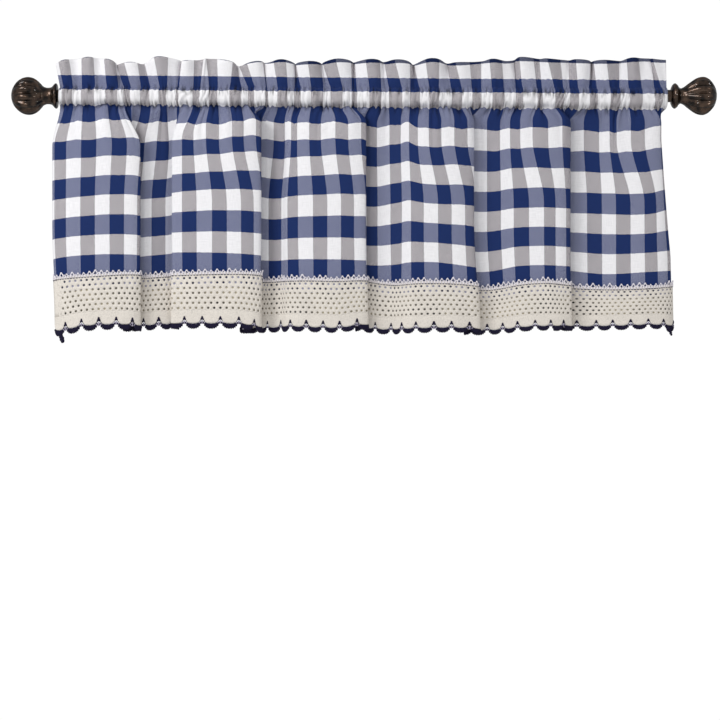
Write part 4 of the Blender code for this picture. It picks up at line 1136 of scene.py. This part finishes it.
crescent_element = motif("one_crescent", one_crescent)
left_tail_element = motif("left_tail", left_tail)
right_tail_element = motif("right_tail", right_tail)
notch_element = motif("one_notch", one_notch)
web_element = motif("one_light_web", one_light_web)
edging = grow("crochet_edging", rows_tree, Element=crescent_element, Face=hem_face,
              Material=navy_crochet, Across=FAN_COUNT, Rows=1, Step=FAN_WIDTH,
              StartX=FAN_WIDTH / 2)
left_end = grow("edging_left_tail", rows_tree, Element=left_tail_element, Face=hem_face,
                Material=navy_crochet, Across=1, Rows=1, Step=FAN_WIDTH, StartX=LEFT_TAIL_ACROSS)
right_end = grow("edging_right_tail", rows_tree, Element=right_tail_element, Face=hem_face,
                 Material=navy_crochet, Across=1, Rows=1, Step=FAN_WIDTH,
                 StartX=PANEL_WIDTH - RIGHT_TAIL_IN)
notches = grow("edging_notches", rows_tree, Element=notch_element, Face=hem_face,
               Material=navy_crochet, Across=FAN_COUNT - 1, Rows=1, Step=FAN_WIDTH,
               StartX=FAN_WIDTH, SizeSpread=0.12)
notch_webs = grow("edging_webs", rows_tree, Element=web_element, Face=hem_face,
                  Material=loose_cotton, Across=FAN_COUNT - 1, Rows=1, Step=FAN_WIDTH,
                  StartX=FAN_WIDTH, SizeSpread=0.1)
for piece in (edging, left_end, right_end, notches, notch_webs):
    piece.data.shade_smooth()
    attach(piece, "root")
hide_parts("edging_cord")
for leftover in (hem_face, lace_mesh_element, fan_element, band_element, side_element,
                 picot_element, chain_element, thread_element, crescent_element,
                 left_tail_element, right_tail_element, notch_element, web_element):
    bpy.data.objects.remove(leftover)

# Curtain rod and finials
# A 16 mm steel rod in the pocket, with a cast finial at each end: a ball in twelve melon lobes
# on a turned neck, a flared collar at the left and a bead at the right. Lacquered dark bronze,
# so it is glossy with small bright highlights.
Turn = namedtuple("Turn", "along radius")
LEFT_FINIAL = [Turn(*row) for row in (
    (0.0, 0.0), (0.6, 5.6), (2.6, 11.2), (6.2, 16.8), (11.4, 21.2), (17.4, 23.8), (23.4, 24.3),
    (29.4, 22.8), (34.4, 19.6), (38.6, 15.4), (41.6, 12.2), (44.8, 10.9), (49.2, 10.7),
    (52.0, 11.4), (54.2, 13.4), (56.2, 15.6), (58.0, 16.4), (59.0, 15.5), (59.2, 0.0))]
RIGHT_FINIAL = [Turn(*row) for row in (
    (0.0, 0.0), (0.6, 6.0), (2.4, 11.6), (6.0, 17.6), (10.6, 22.0), (15.8, 24.4), (21.0, 24.4),
    (26.4, 22.8), (32.0, 19.4), (38.0, 15.0), (43.6, 10.9), (46.6, 9.9), (48.6, 11.0),
    (51.4, 14.8), (54.2, 16.4), (56.6, 14.8), (58.6, 11.2), (58.8, 0.0))]
LEFT_TIP_PIXEL = 11.5
RIGHT_TIP_PIXEL = 716.5
BALL_LENGTH_LEFT = 42.0 * MM
BALL_LENGTH_RIGHT = 43.0 * MM
LOBES = 12
GROOVE_SHARE = 0.17
LOBE_TURN = math.radians(4.0)
FINIAL_SIDES = 144
PROFILE_STEPS = 72

bronze = bpy.data.materials.new("lacquered_dark_bronze")
bronze.use_nodes = True
tree = bronze.node_tree
shader = tree.nodes["Principled BSDF"]
grain = add_node(tree, "ShaderNodeTexCoord")
patina = add_node(tree, "ShaderNodeTexNoise",
                  {"Vector": grain.outputs["Object"], "Scale": 110.0, "Detail": 4.0})
worn = add_node(tree, "ShaderNodeMapRange", {0: patina, 1: 0.38, 2: 0.66})
tone = add_node(tree, "ShaderNodeMix", {0: worn, 6: linear("120C0A"), 7: linear("58463A")},
                data_type="RGBA")
tree.links.new(tone.outputs[2], shader.inputs["Base Color"])
gloss = add_node(tree, "ShaderNodeMath", [patina, 0.16, 0.17], operation="MULTIPLY_ADD")
tree.links.new(gloss.outputs[0], shader.inputs["Roughness"])
shader.inputs["Metallic"].default_value = 0.85
shader.inputs["Specular Tint"].default_value = linear("3A2C22")
shader.inputs["Coat Weight"].default_value = 0.45
shader.inputs["Coat Roughness"].default_value = 0.06
cast = add_node(tree, "ShaderNodeTexNoise", {"Vector": grain.outputs["Object"], "Scale": 420.0})
bump = add_node(tree, "ShaderNodeBump", {"Strength": 0.15, "Distance": 0.2 * MM, "Height": cast})
tree.links.new(bump.outputs[0], shader.inputs["Normal"])

for name, node, profile, ball_length, tip_pixel, inward in (
        ("melon_finial_left", "finial_left", LEFT_FINIAL, BALL_LENGTH_LEFT,
         LEFT_TIP_PIXEL, 1.0),
        ("melon_finial_right", "finial_right", RIGHT_FINIAL, BALL_LENGTH_RIGHT,
         RIGHT_TIP_PIXEL, -1.0)):
    run = np.concatenate([[0.0], np.cumsum([math.hypot(after.along - turn.along,
                                                       after.radius - turn.radius)
                                            for turn, after in zip(profile, profile[1:])])])
    rounded = np.linspace(0.0, run[-2], PROFILE_STEPS)
    along = curve_through(run, [turn.along for turn in profile], rounded)
    radius = curve_through(run, [turn.radius for turn in profile], rounded)
    along = np.clip(np.append(along, profile[-1].along), 0.0, profile[-1].along) * MM
    radius = np.append(np.maximum(radius, 0.0), 0.0) * MM
    tip_x = from_pixel_x(tip_pixel, 0.0)
    casting = bmesh.new()
    rings = []
    for reach, wide in zip(along, radius):
        if wide <= 0.0:
            rings.append([casting.verts.new((tip_x + inward * reach, 0.0, 0.0))])
            continue
        on_ball = max(math.sin(math.pi * min(reach / ball_length, 1.0)), 0.0)
        ring = []
        for side in range(FINIAL_SIDES):
            angle = 2.0 * math.pi * side / FINIAL_SIDES
            groove = 1.0 - abs(math.sin(0.5 * LOBES * (angle + LOBE_TURN)))
            held = wide * (1.0 - GROOVE_SHARE * on_ball ** 0.7 * groove)
            ring.append(casting.verts.new((tip_x + inward * reach, held * math.cos(angle),
                                           held * math.sin(angle))))
        rings.append(ring)
    for outer, inner in zip(rings, rings[1:]):
        for side in range(FINIAL_SIDES):
            after = (side + 1) % FINIAL_SIDES
            corners = [outer[side % len(outer)], outer[after % len(outer)],
                       inner[after % len(inner)], inner[side % len(inner)]]
            corners = list(dict.fromkeys(corners))
            casting.faces.new(corners)
    bmesh.ops.recalc_face_normals(casting, faces=casting.faces)
    mesh = bpy.data.meshes.new(name)
    casting.to_mesh(mesh)
    casting.free()
    mesh.shade_smooth()
    mesh.set_sharp_from_angle(angle=math.radians(55.0))
    mesh.materials.append(bronze)
    finial = bpy.data.objects.new(name, mesh)
    bpy.context.scene.collection.objects.link(finial)
    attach(finial, "root")
    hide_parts(node)

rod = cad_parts["rod"]
rod.data.materials.clear()
rod.data.materials.append(bronze)

# Floor, light and camera
# A pale floor well below the cloth, a large soft lamp from the upper left, a small one on
# each side for the glints on the metal, and a level camera straight in front.
FLOOR_HEIGHT = -1.9
FLOOR_SIZE = 9.0
AMBIENT = 0.54
SEEN_BACKDROP = 1.02
LAMP_AIM = (0.0, 0.0, -0.12)
floor_mesh = bpy.data.meshes.new("floor")
slab = bmesh.new()
bmesh.ops.create_grid(slab, x_segments=1, y_segments=1, size=FLOOR_SIZE / 2)
bmesh.ops.translate(slab, verts=slab.verts, vec=(0.0, 0.0, FLOOR_HEIGHT))
slab.to_mesh(floor_mesh)
slab.free()
floor = bpy.data.objects.new("floor", floor_mesh)
bpy.context.scene.collection.objects.link(floor)
floor_paint = bpy.data.materials.new("pale_matt_floor")
floor_paint.use_nodes = True
shader = floor_paint.node_tree.nodes["Principled BSDF"]
shader.inputs["Base Color"].default_value = linear("F2F2F0")
shader.inputs["Roughness"].default_value = 0.9
floor_mesh.materials.append(floor_paint)

world = bpy.data.worlds.new("studio")
bpy.context.scene.world = world
world.use_nodes = True
backdrop = world.node_tree.nodes["Background"]
ray = add_node(world.node_tree, "ShaderNodeLightPath")
glow = add_node(world.node_tree, "ShaderNodeMath",
                [ray.outputs["Is Camera Ray"], SEEN_BACKDROP - AMBIENT, AMBIENT],
                operation="MULTIPLY_ADD")
backdrop.inputs["Color"].default_value = (1.0, 1.0, 1.0, 1.0)
world.node_tree.links.new(glow.outputs[0], backdrop.inputs["Strength"])

Lamp = namedtuple("Lamp", "name place size watts")
LAMPS = (
    Lamp("key_lamp", (-1.9, -1.7, 1.1), 1.0, 36.0),
    Lamp("left_spot_lamp", (-0.9, -2.1, 0.3), 0.12, 6.0),
    Lamp("right_spot_lamp", (2.1, -1.5, 0.3), 0.14, 7.0),
)
for lamp in LAMPS:
    data = bpy.data.lights.new(lamp.name, "AREA")
    data.energy = lamp.watts
    data.size = lamp.size
    light = bpy.data.objects.new(lamp.name, data)
    light.location = lamp.place
    aim = -np.array(lamp.place) + np.array(LAMP_AIM)
    light.rotation_euler = (math.atan2(math.hypot(aim[0], aim[1]), -aim[2]), 0.0,
                            math.atan2(aim[1], aim[0]) - math.pi / 2)
    bpy.context.scene.collection.objects.link(light)

lens = bpy.data.cameras.new("camera")
lens.sensor_width = 36.0
lens.lens = lens.sensor_width * VIEW_DISTANCE / (PHOTO_SIDE * PIXEL_SIZE)
camera = bpy.data.objects.new("camera", lens)
camera.location = ((VIEW_PIXEL_X - ORIGIN_PIXEL_X) * PIXEL_SIZE, -VIEW_DISTANCE,
                   (ORIGIN_PIXEL_Y - VIEW_PIXEL_Y) * PIXEL_SIZE)
camera.rotation_euler = (math.pi / 2, 0.0, 0.0)
bpy.context.scene.collection.objects.link(camera)
bpy.context.scene.camera = camera
bpy.context.scene.view_settings.view_transform = "Standard"
